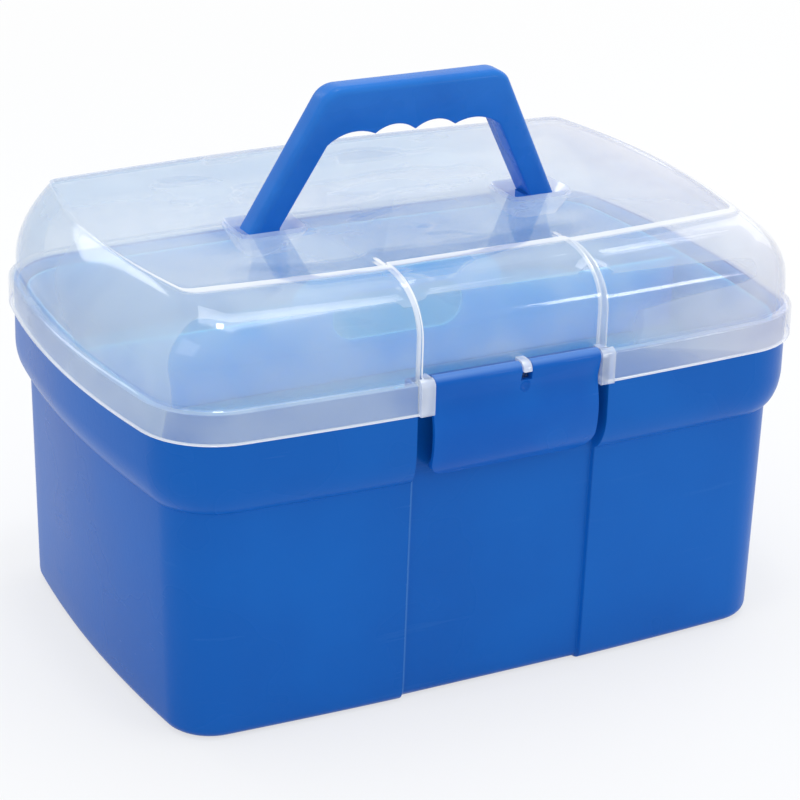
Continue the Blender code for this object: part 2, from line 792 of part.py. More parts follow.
def build_handle(parts, cutters, material):
    """The handle, rounded on its outer edges, with foot plates, tenons and snap heads."""
    bm = bmesh.new()
    half = HANDLE_DEPTH / 2
    face = bm.faces.new([bm.verts.new((x, -half, z)) for x, z in handle_outline()])
    pulled = bmesh.ops.extrude_face_region(bm, geom=[face])
    moved = [item for item in pulled["geom"] if isinstance(item, bmesh.types.BMVert)]
    bmesh.ops.translate(bm, vec=(0.0, HANDLE_DEPTH, 0.0), verts=moved)
    bmesh.ops.recalc_face_normals(bm, faces=bm.faces)

    foot = PANEL_HEIGHT + RUNNING_GAP
    slope = (HANDLE_FOOT_OUTER - HANDLE_TOP_HALF) / (HANDLE_TOP - foot)
    outer_edges = []
    for edge in bm.edges:
        first, last = edge.verts
        flat = abs(first.co.y - last.co.y) < half
        on_outside = all(
            abs(vert.co.x) > HANDLE_FOOT_OUTER - slope * (vert.co.z - foot) - HANDLE_CORNER / 2
            or vert.co.z > HANDLE_TOP - HANDLE_CORNER / 2
            for vert in edge.verts
        )
        at_foot = first.co.z < foot + RUNNING_GAP and last.co.z < foot + RUNNING_GAP
        if flat and on_outside and not at_foot:
            outer_edges.append(edge)
    bmesh.ops.bevel(
        bm,
        geom=outer_edges,
        offset=HANDLE_ROUNDING,
        segments=3,
        affect="EDGES",
        profile=0.5,
        clamp_overlap=True,
    )
    for vert in bm.verts:
        vert.co.y -= HANDLE_LEAN * (vert.co.z - foot) / (HANDLE_TOP - foot)
    handle = add_object("handle", bm, parts, material)

    floor = PANEL_HEIGHT - CUP_DEPTH
    for side in (-1, 1):
        name = "left" if side < 0 else "right"
        middle = side * (HANDLE_FOOT_OUTER + HANDLE_FOOT_INNER) / 2
        half_plate = (HANDLE_FOOT_OUTER - HANDLE_FOOT_INNER) / 2 + FOOT_PLATE_PROUD
        half_depth = half + FOOT_PLATE_PROUD
        plate = box(
            f"foot_plate_{name}",
            (middle - half_plate, -half_depth, foot - FOOT_PLATE_THICKNESS / 2),
            (middle + half_plate, half_depth, foot + FOOT_PLATE_THICKNESS / 2),
            cutters,
        )
        combine(handle, plate, "UNION")
        tenon = tapered_block(
            f"tenon_{name}",
            side * CUP_X,
            (TENON_LENGTH, TENON_DEPTH, foot),
            (TENON_LENGTH, TENON_DEPTH, floor + RUNNING_GAP),
            cutters,
        )
        combine(handle, tenon, "UNION")
        neck_half = CUP_SLOT_LENGTH / 2 - RUNNING_GAP
        neck_depth = CUP_SLOT_DEPTH / 2 - RUNNING_GAP
        under = floor - CUP_WALL - RUNNING_GAP
        neck = box(
            f"neck_{name}",
            (side * CUP_X - neck_half, -neck_depth, under - TENON_HEAD_HEIGHT / 2),
            (side * CUP_X + neck_half, neck_depth, floor + CUP_WALL),
            cutters,
        )
        combine(handle, neck, "UNION")
        head = box(
            f"snap_head_{name}",
            (side * CUP_X - neck_half - TENON_HEAD_GRIP, -neck_depth, under - TENON_HEAD_HEIGHT),
            (side * CUP_X + neck_half + TENON_HEAD_GRIP, neck_depth, under),
            cutters,
        )
        combine(handle, head, "UNION")
    return handle


def latch_profile():
    """The latch's side view: a round bead at the pivot, a hollow under it, a belly and a curled lip."""
    axis_y, axis_z = LATCH_AXIS.y, LATCH_AXIS.z
    bead = arc((axis_y, axis_z), LATCH_BEAD, math.radians(-70), math.radians(195), 16)
    drop = axis_z - LATCH_BOTTOM
    face = axis_y - LATCH_BEAD
    outer = [
        (face + 0.0010, axis_z - 0.13 * drop),
        (face + 0.0013, axis_z - 0.21 * drop),
        (face + 0.0004, axis_z - 0.34 * drop),
        (face - 0.0003, axis_z - 0.50 * drop),
        (face - 0.0001, axis_z - 0.66 * drop),
        (face + 0.0012, axis_z - 0.81 * drop),
        (face + 0.0034, axis_z - 0.92 * drop),
        (face + 0.0060, LATCH_BOTTOM),
    ]
    tip = CATCH_Y - RUNNING_GAP
    hook_top = CATCH_BOTTOM - RUNNING_GAP
    hook = [(tip, LATCH_BOTTOM + 0.0003), (tip, hook_top - LATCH_WALL / 2), (tip - 0.0010, hook_top)]
    inner = [(y + LATCH_WALL, z) for y, z in reversed(outer[:-2])]
    return bead + outer + hook + inner


def build_latch(parts, cutters, material):
    """The latch: one bent plate with a notch for the lid's finger, a neck in it and two side pins."""
    latch = extruded("latch", latch_profile(), "X", -LATCH_HALF, LATCH_HALF, parts, material)
    for side in (-1, 1):
        name = "left" if side < 0 else "right"
        corner = LATCH_CORNER
        centre = (side * (LATCH_HALF - corner), LATCH_BOTTOM + corner)
        first = math.radians(270)
        last = math.radians(360 if side > 0 else 180)
        profile = arc(centre, corner, first, last, 6)
        profile += [
            (side * (LATCH_HALF + corner), LATCH_BOTTOM + corner),
            (side * (LATCH_HALF + corner), LATCH_BOTTOM - corner),
            (side * (LATCH_HALF - corner), LATCH_BOTTOM - corner),
        ]
        front = LIP.front_y() - 4 * LATCH_WALL
        trim = extruded(f"latch_corner_{name}", profile, "Y", front, CATCH_Y, cutters)
        combine(latch, trim, "DIFFERENCE")
        pin = rod(
            f"latch_pin_{name}",
            Vector((side * LATCH_HALF, LATCH_AXIS.y, LATCH_AXIS.z)),
            LATCH_PIN,
            2 * LATCH_PIN_REACH,
            cutters,
        )
        combine(latch, pin, "UNION")
    notch = box(
        "notch",
        (FINGER_X - FINGER_WIDTH / 2 - FINGER_GAP, LATCH_AXIS.y - 2 * LATCH_BEAD, LATCH_AXIS.z - NOTCH_REACH),
        (FINGER_X + FINGER_WIDTH / 2 + FINGER_GAP, LATCH_AXIS.y + 2 * LATCH_BEAD, LATCH_AXIS.z + NOTCH_REACH),
        cutters,
    )
    combine(latch, notch, "DIFFERENCE")
    neck = rod(
        "latch_neck",
        Vector((FINGER_X, LATCH_AXIS.y, LATCH_AXIS.z)),
        LATCH_NECK,
        FINGER_WIDTH + 4 * FINGER_GAP,
        cutters,
    )
    combine(latch, neck, "UNION")
    return latch


def build_tray(parts, cutters, material):
    """The lift-out tray: a shallow pan with a lengthways divider that rises into a grip."""
    bottom = LEDGE_HEIGHT + RUNNING_GAP
    outer = replace(
        SHOULDER.inset(-TRAY_OUT),
        groove_half=COLLAR_GROOVE_HALF + TUB_WALL + GROOVE_FLARE + TRAY_CLEARANCE,
        groove_y=SHOULDER.groove_y + TUB_WALL + TRAY_CLEARANCE,
    )
    rings = []
    for turn in (0, 45, 90):
        angle = math.radians(turn)
        inset = TRAY_FILLET * (1 - math.sin(angle))
        rings.append(
            ring(outer.inset(inset, 0.0, inset), bottom + TRAY_FILLET * (1 - math.cos(angle)))
        )
    rings.append(ring(outer, TRAY_TOP))
    inside = outer.inset(TRAY_WALL, TRAY_WALL, TRAY_WALL)
    rings.append(ring(inside, TRAY_TOP))
    rings.append(ring(inside, bottom + TRAY_WALL + TRAY_FILLET))
    rings.append(ring(inside.inset(TRAY_FILLET, 0.0, TRAY_FILLET), bottom + TRAY_WALL))
    tray = loft("tray", rings, parts, material)

    divider_end = outer.half_length - TRAY_WALL / 2
    grip_corner = TRAY_GRIP_TOP - TRAY_TOP
    right = [(divider_end, bottom + TRAY_WALL / 2), (divider_end, TRAY_TOP - TRAY_WALL)]
    right += [(TRAY_GRIP_HALF + grip_corner, TRAY_TOP - TRAY_WALL)]
    right += arc(
        (TRAY_GRIP_HALF, TRAY_TOP),
        grip_corner,
        math.radians(0),
        math.radians(90),
        5,
    )
    left = [(-x, z) for x, z in reversed(right)]
    divider = extruded(
        "divider",
        right + left,
        "Y",
        -TRAY_DIVIDER / 2,
        TRAY_DIVIDER / 2,
        cutters,
    )
    combine(tray, divider, "UNION")
    slot_centre = TRAY_SLOT_HALF - TRAY_SLOT_RADIUS
    slot_outline = arc(
        (slot_centre, TRAY_SLOT_HEIGHT), TRAY_SLOT_RADIUS, math.radians(-90), math.radians(90), 8
    )
    slot_outline += arc(
        (-slot_centre, TRAY_SLOT_HEIGHT), TRAY_SLOT_RADIUS, math.radians(90), math.radians(270), 8
    )
    slot = extruded(
        "grip_slot", slot_outline, "Y", -2 * TRAY_DIVIDER, 2 * TRAY_DIVIDER, cutters
    )
    combine(tray, slot, "DIFFERENCE")
    return tray, bottom


def main():
    """Build the case."""
    clear_scene()
    parts = new_collection("grooming_case")
    cutters = new_collection("cutters")
    blue = new_material("blue_plastic", (0.012, 0.115, 0.48), 0.32)
    clear = new_material("clear_plastic", (0.80, 0.86, 0.92), 0.12, 0.35)
    handle_blue = new_material("handle_plastic", (0.015, 0.13, 0.52), 0.25)
    latch_blue = new_material("latch_plastic", (0.020, 0.12, 0.50), 0.28)
    tray_blue = new_material("tray_plastic", (0.030, 0.20, 0.60), 0.35)

    tub = build_tub(parts, cutters, blue)
    lid = build_lid(parts, cutters, clear)
    handle = build_handle(parts, cutters, handle_blue)
    latch = build_latch(parts, cutters, latch_blue)
    tray, seat = build_tray(parts, cutters, tray_blue)

    hang_on(lid, HINGE_AXIS, tub)
    hang_on(latch, LATCH_AXIS, lid)
    hang_on(handle, Vector((0.0, 0.0, PANEL_HEIGHT)), lid)
    hang_on(tray, Vector((0.0, 0.0, seat)), tub)
    bpy.context.view_layer.update()


main()
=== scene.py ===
"""A grooming case: blue tub, clear domed lid, carrying handle, front latch and lift-out tray."""

import logging
import math
from dataclasses import astuple, dataclass, replace
from enum import Enum
from typing import Iterable, Sequence

import bmesh
import bpy
from mathutils import Matrix, Vector


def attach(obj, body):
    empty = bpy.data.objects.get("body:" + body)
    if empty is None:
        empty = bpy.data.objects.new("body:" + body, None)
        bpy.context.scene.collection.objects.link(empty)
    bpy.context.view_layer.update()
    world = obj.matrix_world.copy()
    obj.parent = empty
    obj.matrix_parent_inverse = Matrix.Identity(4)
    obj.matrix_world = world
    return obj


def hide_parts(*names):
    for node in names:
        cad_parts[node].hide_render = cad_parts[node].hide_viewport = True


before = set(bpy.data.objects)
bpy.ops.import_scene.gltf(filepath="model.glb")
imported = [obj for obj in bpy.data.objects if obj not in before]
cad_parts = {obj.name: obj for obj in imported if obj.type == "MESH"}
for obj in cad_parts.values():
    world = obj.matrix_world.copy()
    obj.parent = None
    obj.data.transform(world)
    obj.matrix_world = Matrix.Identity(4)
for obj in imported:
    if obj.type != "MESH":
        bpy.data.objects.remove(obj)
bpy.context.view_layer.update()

NEAR = 0.00001
log = logging.getLogger("grooming_case")

Piece = bpy.types.Object
Node = bpy.types.Node
Socket = bpy.types.NodeSocket
Tree = bpy.types.NodeTree
Pair = tuple[float, float]
Colour = tuple[float, float, float]
Triple = tuple[float, float, float]
Ring = list[Vector]
Profile = list[Pair]
Step = tuple[Piece, "Cut"]


class Axis(Enum):
    """The direction along which a flat profile is pulled."""

    ALONG = "X"
    ACROSS = "Y"


class Cut(Enum):
    """What a tool solid does to the piece that it meets."""

    JOIN = "UNION"
    REMOVE = "DIFFERENCE"


def deselect() -> None:
    """Leave nothing selected, so that an operator acts only on the piece in hand."""
    bpy.ops.object.select_all(action="DESELECT")


def take(piece: Piece) -> None:
    """Select one piece alone and make it active."""
    deselect()
    piece.select_set(True)
    bpy.context.view_layer.objects.active = piece


def mixed(first: float, last: float, share: float) -> float:
    """A value part of the way, from 0 to 1, to another."""
    return first + (last - first) * share


def eased(share: float) -> float:
    """A share that starts and ends slowly."""
    return (1 - math.cos(math.pi * share)) / 2


def arc(centre: Pair, radius: float, first: float, last: float, steps: int) -> Profile:
    """Go round part of a circle.

    Args:
        centre: Middle of the circle.
        radius: Its radius.
        first: First angle in degrees.
        last: Last angle in degrees.
        steps: Number of equal steps.

    Returns:
        The points, both ends included.
    """
    turns = [math.radians(mixed(first, last, step / steps)) for step in range(steps + 1)]
    return [(centre[0] + radius * math.cos(turn), centre[1] + radius * math.sin(turn)) for turn in turns]


def bulge(first: Pair, last: Pair, rise: float, steps: int) -> Profile:
    """Bow a line to its left.

    Args:
        first: Start of the line.
        last: End of the line.
        rise: How far its middle stands off.
        steps: Number of steps along it.

    Returns:
        The points between the two ends, on a circle through them.
    """
    start, chord = Vector(first), Vector(last) - Vector(first)
    left = Vector((-chord.y, chord.x)).normalized()
    radius = (chord.length**2 / 4 + rise**2) / (2 * rise)
    points = []
    for step in range(1, steps):
        share = step / steps
        off = math.sqrt(radius**2 - ((share - 0.5) * chord.length) ** 2) - (radius - rise)
        points.append(tuple(start + chord * share + left * off))
    return points


def through(points: Profile, steps: int) -> Profile:
    """Draw a smooth line through a few points.

    Args:
        points: Points that the line passes.
        steps: Steps between two of them.

    Returns:
        A Catmull-Rom line, both ends included.
    """
    padded = [points[0], *points, points[-1]]
    line: Profile = []
    for before, start, end, after in zip(padded, padded[1:], padded[2:], padded[3:]):
        for step in range(steps):
            t = step / steps
            line.append(tuple(
                0.5 * (2 * b + (c - a) * t + (2 * a - 5 * b + 4 * c - d) * t * t + (3 * b - a - 3 * c + d) * t**3)
                for a, b, c, d in zip(before, start, end, after)
            ))
    return line + [points[-1]]


def foot_steps(radius: float, turns: Iterable[int]) -> Profile:
    """Inset and rise of a rounded foot at some angles in degrees, of which 90 is its upright side."""
    angles = [math.radians(turn) for turn in turns]
    return [(radius * (1 - math.sin(angle)), radius * (1 - math.cos(angle))) for angle in angles]


def lip_steps(half: float) -> Profile:
    """Inset and rise round a half-round lip, from its outer side to its inner one."""
    angles = [math.radians(turn) for turn in range(0, 181, 30)]
    return [(half * (1 - math.cos(angle)), half * math.sin(angle)) for angle in angles]


@dataclass(frozen=True)
class Outline:
    """Plan outline of the case at one level: bowed sides, round corners, a groove down the front."""

    half_length: float
    half_depth: float
    corner: float
    bow_end: float
    bow_front: float
    centre_y: float
    groove_half: float
    groove_y: float
    flare: float = 0.0012

    def inset(self, amount: float, groove_wall: float = 0.0, groove_inset: float = 0.0) -> "Outline":
        """Move the outline inwards.

        Args:
            amount: How far the sides move in.
            groove_wall: How much wider each side of the groove gets.
            groove_inset: How far the groove's floor moves in.

        Returns:
            The smaller outline.
        """
        return replace(
            self,
            half_length=self.half_length - amount,
            half_depth=self.half_depth - amount,
            corner=self.corner - amount,
            groove_half=self.groove_half + groove_wall,
            groove_y=self.groove_y + groove_inset,
        )

    def blended(self, other: "Outline", share: float) -> "Outline":
        """Go part of the way, from 0 to 1, to another outline."""
        return Outline(*[mixed(mine, theirs, share) for mine, theirs in zip(astuple(self), astuple(other))])

    def front_y(self, x: float = 0.0) -> float:
        """Find the front side, without its groove.

        Args:
            x: Where along the front.

        Returns:
            Its y.
        """
        slope = math.atan(2 * self.bow_front / (self.half_length - self.corner))
        end_x = self.half_length - self.corner + self.corner * math.sin(slope)
        end_y = self.half_depth - self.corner + self.corner * math.cos(slope)
        return self.centre_y - end_y - self.bow_front * (1 - (x / end_x) ** 2)

    def back_y(self, x: float = 0.0) -> float:
        """Y of the back side at x."""
        return 2 * self.centre_y - self.front_y(x)

    def with_groove(self, half: float, depth: float) -> "Outline":
        """Sink a groove of a width and depth into the front."""
        return replace(self, groove_half=half, groove_y=self.front_y() + depth)

    def points(self) -> Profile:
        """Go round the outline, anticlockwise from its front left.

        Returns:
            Its (x, y) points.
        """
        straight, depth = self.half_length - self.corner, self.half_depth - self.corner
        front_slope = math.atan(2 * self.bow_front / straight)
        end_slope = math.atan(2 * self.bow_end / depth)
        front_end = straight + self.corner * math.sin(front_slope)
        side_end = depth + self.corner * math.sin(end_slope)
        side_x = straight + self.corner * math.cos(end_slope)

        outer = self.groove_half + self.flare
        rights = [mixed(outer, front_end, step / 12) for step in range(13)]
        flank = [
            (mixed(outer, self.groove_half, step / 6), mixed(self.front_y(outer), self.groove_y, eased(step / 6)))
            for step in range(1, 6)
        ]
        floor = [(self.groove_half * step / 5, self.groove_y) for step in range(-5, 6)]
        front = [(-x, self.front_y(x)) for x in reversed(rights)] + [(-x, y) for x, y in flank]
        front += floor + flank[::-1] + [(x, self.front_y(x)) for x in rights]
        back = [(front_end * (1 - step / 20), self.back_y(front_end * (1 - step / 20))) for step in range(41)]
        sides = [side_end * (step / 9 - 1) for step in range(19)]
        right = [(side_x + self.bow_end * (1 - (y / side_end) ** 2), self.centre_y + y) for y in sides]
        left = [(-x, 2 * self.centre_y - y) for x, y in right]

        def corner(sign_x: int, sign_y: int, first: float, last: float) -> Profile:
            """Round one corner between two angles in radians, without its ends."""
            centre = (sign_x * straight, self.centre_y + sign_y * depth)
            return arc(centre, self.corner, math.degrees(first), math.degrees(last), 14)[1:-1]

        quarter = math.pi / 2
        return (
            front
            + corner(1, -1, -quarter + front_slope, -end_slope)
            + right
            + corner(1, 1, end_slope, quarter - front_slope)
            + back
            + corner(-1, 1, quarter + front_slope, 2 * quarter - end_slope)
            + left
            + corner(-1, -1, 2 * quarter + end_slope, 3 * quarter - front_slope)
        )

    def ring(self, height: float) -> Ring:
        """The outline at a height."""
        return [Vector((x, y, height)) for x, y in self.points()]


@dataclass(frozen=True)
class CaseLines:
    """Levels, plan outlines and axes, as (y, z), that the pieces share."""

    base_half_length: float = 0.155
    base_half_depth: float = 0.1013
    base_corner: float = 0.023
    draft: float = 0.0023
    body_height: float = 0.112
    shoulder_corner: float = 0.028
    body_bow_end: float = 0.0043
    body_bow_front: float = 0.0036
    body_groove_half: float = 0.0465
    body_groove_depth: float = 0.0028
    collar_out: float = 0.0068
    collar_bow_end: float = 0.0070
    collar_bow_front: float = 0.0037
    collar_groove_half: float = 0.0476
    collar_rounding: float = 0.018
    collar_start: float = 18.0
    rim_height: float = 0.161
    ledge_height: float = 0.1162
    tub_wall: float = 0.0022
    lid_wall: float = 0.0018
    lid_clearance: float = 0.0006
    flange_step: float = 0.0038
    flange_rounding: float = 0.0032
    groove_half: float = 0.0452
    groove_depth: float = 0.0040
    side_rise: float = 0.0052
    front_rise: float = 0.0153
    crest_rise: float = 0.0402
    crest_half_length: float = 0.1417
    crest_half_depth: float = 0.0827
    crest_corner: float = 0.0060
    crest_bow_end: float = 0.0088
    crest_bow_front: float = 0.0073
    crest_shift: float = 0.0120
    roundness: float = 0.9
    front_fullness: float = 0.9
    back_fullness: float = 1.3
    end_fullness: float = 2.0
    panel_sink: float = 0.0014
    running_gap: float = 0.0003
    pin_clearance: float = 0.00008
    latch_axis: Pair = (-0.1128, 0.1606)
    hinge_axis: Pair = (0.1226, 0.1405)
    hinge_x: float = 0.078
    hinge_rod: float = 0.0026
    knuckle: float = 0.0050
    clip_length: float = 0.020
    clip_gap: float = 0.0008

    @property
    def base(self) -> Outline:
        """The body's outline at the floor."""
        size = (self.base_half_length, self.base_half_depth, self.base_corner)
        plain = Outline(*size, self.body_bow_end, self.body_bow_front, 0.0, 0.0, 0.0)
        return plain.with_groove(self.body_groove_half, self.body_groove_depth)

    @property
    def shoulder(self) -> Outline:
        """The body's outline under the collar."""
        plain = replace(self.base.inset(-self.draft), corner=self.shoulder_corner)
        return plain.with_groove(self.body_groove_half, self.body_groove_depth)

    @property
    def collar(self) -> Outline:
        """The wider outline that the lid's lip covers."""
        return replace(
            self.shoulder.inset(-self.collar_out),
            bow_end=self.collar_bow_end,
            bow_front=self.collar_bow_front,
            groove_half=self.collar_groove_half,
            groove_y=self.shoulder.groove_y,
        )

    @property
    def plain_lip(self) -> Outline:
        """The lid's lip before its groove."""
        return self.collar.inset(-self.lid_clearance - self.lid_wall)

    @property
    def strap_y(self) -> float:
        """Y of the flat strap down the lid's front."""
        return self.plain_lip.inset(self.flange_step).front_y() + self.groove_depth

    @property
    def lip(self) -> Outline:
        """The lid's outline at its lip."""
        return replace(self.plain_lip, groove_half=self.groove_half, groove_y=self.strap_y)

    @property
    def side(self) -> Outline:
        """The lid's outline above its flange."""
        plain = self.plain_lip.inset(self.flange_step)
        return replace(plain, groove_half=self.groove_half, groove_y=self.strap_y)

    @property
    def crest(self) -> Outline:
        """The outline of the ridge round the lid's panel."""
        size = (self.crest_half_length, self.crest_half_depth, self.crest_corner)
        plain = Outline(*size, self.crest_bow_end, self.crest_bow_front, self.crest_shift, 0.0, 0.0)
        return plain.with_groove(self.groove_half, self.groove_depth)

    @property
    def flange_top(self) -> float:
        """Height where the lid's side wall leaves the flange."""
        return self.rim_height + self.flange_rounding

    @property
    def side_spring(self) -> float:
        """Height where the lid's ends start to curve in."""
        return self.flange_top + self.side_rise

    @property
    def crest_height(self) -> float:
        """Height of the ridge round the panel."""
        return self.flange_top + self.crest_rise

    @property
    def panel_height(self) -> float:
        """Height of the flat panel."""
        return self.crest_height - self.panel_sink

    def body(self, height: float) -> Outline:
        """The drafted body at a height below the collar."""
        return self.base.blended(self.shoulder, height / self.body_height)

    def dome_share(self, height: float, spring: float, fullness: float) -> float:
        """How far one side of the dome has curved in.

        Args:
            height: Level on the dome.
            spring: Level where this side starts to curve.
            fullness: How full its arc is, lower for fuller.

        Returns:
            0 at the side wall and 1 at the crest.
        """
        climb = (height - spring) / (self.crest_height - spring)
        climb = min(max(climb, 0.0), 1.0) ** (1 / self.roundness)
        return 1 - math.sqrt(max(1 - climb**2, 0.0)) ** fullness

    def dome(self, height: float) -> Outline:
        """Find the lid's outline on the dome, whose front, back and ends curve in on their own arcs.

        Args:
            height: Level on the dome.

        Returns:
            The outline.
        """
        side, crest = self.side, self.crest
        front = self.dome_share(height, self.flange_top + self.front_rise, self.front_fullness)
        back = self.dome_share(height, self.side_spring, self.back_fullness)
        end = self.dome_share(height, self.side_spring, self.end_fullness)
        near = mixed(side.half_depth, crest.half_depth - crest.centre_y, front)
        far = mixed(side.half_depth, crest.half_depth + crest.centre_y, back)
        section = replace(
            side.blended(crest, end),
            half_depth=(near + far) / 2,
            centre_y=(far - near) / 2,
            corner=mixed(side.corner, crest.corner, (front + end) / 2),
            bow_front=mixed(side.bow_front, crest.bow_front, front),
        )
        return section.with_groove(self.groove_half, self.groove_depth)

    def dome_levels(self, steps: int) -> list[Pair]:
        """Go up the outer face of the dome, from its foot to its crest.

        Args:
            steps: Number of steps.

        Returns:
            Height, and slope in radians.
        """
        turns = [math.radians(90 * step / steps) for step in range(steps + 1)]
        rise = self.crest_height - self.side_spring
        return [(self.side_spring + rise * math.sin(turn) ** self.roundness, turn) for turn in turns]

    def collar_levels(self, steps: int) -> list[Triple]:
        """Go up the collar's rounding.

        Args:
            steps: Number of steps.

        Returns:
            Share from shoulder to collar, height, and tilt of the outer face in radians.
        """
        low = math.radians(self.collar_start)
        levels = []
        for step in range(steps + 1):
            turn = mixed(low, math.pi / 2, step / steps)
            share = (math.sin(turn) - math.sin(low)) / (1 - math.sin(low))
            height = self.body_height + self.collar_rounding * (1 - math.cos(turn) / math.cos(low))
            levels.append((share, height, math.pi / 2 - turn))
        return levels


LINES = CaseLines()


def loft(name: str, rings: Sequence[Ring], weld: float = 0.000002) -> Piece:
    """Raise a closed skin from a flat cap by extruding the cap, ring after ring.

    Args:
        name: Name of the piece.
        rings: The rings, from one cap to the other.
        weld: Distance under which points are one.

    Returns:
        The piece.
    """
    deselect()
    count = len(rings[0])
    bpy.ops.mesh.primitive_circle_add(vertices=count, radius=0.01, fill_type="NGON")
    piece = bpy.context.object
    piece.name = name
    piece.data.attributes.new("place", "INT", "POINT").data.foreach_set("value", range(count))
    bpy.ops.object.mode_set(mode="EDIT")
    for number, ring in enumerate(rings):
        if number:
            bpy.ops.mesh.extrude_region_move()
        shape = bmesh.from_edit_mesh(piece.data)
        place = shape.verts.layers.int["place"]
        for vert in shape.verts:
            if vert.select:
                vert.co = ring[vert[place]]
        bmesh.update_edit_mesh(piece.data)
    bpy.ops.mesh.select_all(action="SELECT")
    bpy.ops.mesh.remove_doubles(threshold=weld)
    bpy.ops.mesh.normals_make_consistent(inside=False)
    bpy.ops.object.mode_set(mode="OBJECT")
    piece.data.attributes.remove(piece.data.attributes["place"])
    return piece


def bevel_edges(piece: Piece, wanted: Iterable[int], width: float, segments: int) -> None:
    """Round some edges of a piece.

    Args:
        piece: The piece.
        wanted: Numbers of the edges.
        width: Width of the rounding.
        segments: Steps across it.
    """
    take(piece)
    bpy.ops.object.mode_set(mode="EDIT")
    bpy.ops.mesh.select_mode(type="EDGE")
    bpy.ops.mesh.select_all(action="DESELECT")
    shape = bmesh.from_edit_mesh(piece.data)
    shape.edges.ensure_lookup_table()
    for number in wanted:
        shape.edges[number].select_set(True)
    bmesh.update_edit_mesh(piece.data)
    bpy.ops.mesh.bevel(offset=width, segments=segments, profile=0.5, affect="EDGES", clamp_overlap=True)
    bpy.ops.mesh.select_mode(type="VERT")
    bpy.ops.object.mode_set(mode="OBJECT")


def prism(name: str, profile: Profile, axis: Axis, start: float, end: float, soft: float = 0.0) -> Piece:
    """Pull a flat profile along an axis.

    Args:
        name: Name of the piece.
        profile: (y, z) points for Axis.ALONG and (x, z) points for Axis.ACROSS.
        axis: Direction of the pull.
        start: Where it starts.
        end: Where it ends.
        soft: Rounding of the edges round both end faces.

    Returns:
        The piece.
    """
    def ring(at: float) -> Ring:
        """The profile at a place on the axis."""
        if axis is Axis.ALONG:
            return [Vector((at, y, z)) for y, z in profile]
        return [Vector((x, at, z)) for x, z in profile]

    piece = loft(name, [ring(start), ring(end)])
    if soft:
        way = 0 if axis is Axis.ALONG else 1
        points = [vert.co[way] for vert in piece.data.vertices]
        flat = [
            edge.index
            for edge in piece.data.edges
            if abs(points[edge.vertices[0]] - points[edge.vertices[1]]) < abs(end - start) / 2
        ]
        bevel_edges(piece, flat, soft, 2)
    return piece


def tapered(name: str, centre: Pair, top: Triple, bottom: Triple, corner: float) -> Piece:
    """Make a block with rounded upright edges that tapers.

    Args:
        name: Name of the piece.
        centre: X and Y of its middle.
        top: Half length, half depth and height of its top.
        bottom: The same for its bottom.
        corner: Rounding of its upright edges.

    Returns:
        The piece.
    """
    def ring(size: Triple) -> Ring:
        """The rounded rectangle at one end."""
        line: Profile = []
        for number, (sx, sy) in enumerate(((1, 1), (-1, 1), (-1, -1), (1, -1))):
            middle = (centre[0] + sx * (size[0] - corner), centre[1] + sy * (size[1] - corner))
            line += arc(middle, corner, 90 * number, 90 * number + 90, 5)
        return [Vector((x, y, size[2])) for x, y in line]

    return loft(name, [ring(bottom), ring(top)])


def rod(name: str, centre: Vector, radius: float, length: float) -> Piece:
    """Add a rod along X.

    Args:
        name: Name of the rod.
        centre: Its middle.
        radius: Its radius.
        length: Its length.

    Returns:
        The rod, with its place in its mesh.
    """
    deselect()
    bpy.ops.mesh.primitive_cylinder_add(
        vertices=40, radius=radius, depth=length, location=centre, rotation=(0.0, math.pi / 2, 0.0)
    )
    made = bpy.context.object
    made.name = name
    bpy.ops.object.transform_apply(location=True, rotation=True, scale=True)
    return made


def combine(piece: Piece, tool: Piece, cut: Cut) -> None:
    """Join a tool solid to a piece or cut it away, and remove the tool.

    Args:
        piece: The piece, which is changed.
        tool: The other solid.
        cut: Whether it is joined or removed.
    """
    take(piece)
    modifier = piece.modifiers.new(tool.name, "BOOLEAN")
    modifier.operation = cut.value
    modifier.solver = "EXACT"
    modifier.material_mode = "TRANSFER"
    modifier.object = tool
    bpy.ops.object.modifier_apply(modifier=modifier.name)
    bpy.data.objects.remove(tool, do_unlink=True)


def soften(piece: Piece, width: float, segments: int, angle: float) -> None:
    """Round every edge of a piece that is sharper than an angle.

    Args:
        piece: The piece.
        width: Width of the rounding.
        segments: Steps across it.
        angle: Angle in degrees.
    """
    take(piece)
    modifier = piece.modifiers.new("soft_edges", "BEVEL")
    modifier.width = width
    modifier.segments = segments
    modifier.limit_method = "ANGLE"
    modifier.angle_limit = math.radians(angle)
    modifier.miter_outer = "MITER_ARC"
    bpy.ops.object.modifier_apply(modifier=modifier.name)


def smooth(piece: Piece, angle: float = 35.0) -> None:
    """Shade a piece smooth, apart from edges sharper than an angle in degrees."""
    take(piece)
    bpy.ops.object.shade_smooth_by_angle(angle=math.radians(angle))
    deselect()


def linear(red: int, green: int, blue: int) -> Colour:
    """Turn a colour as seen on a screen, from 0 to 255, into scene values."""
    def one(value: int) -> float:
        """Turn one channel."""
        share = value / 255
        return share / 12.92 if share <= 0.04045 else ((share + 0.055) / 1.055) ** 2.4

    return one(red), one(green), one(blue)


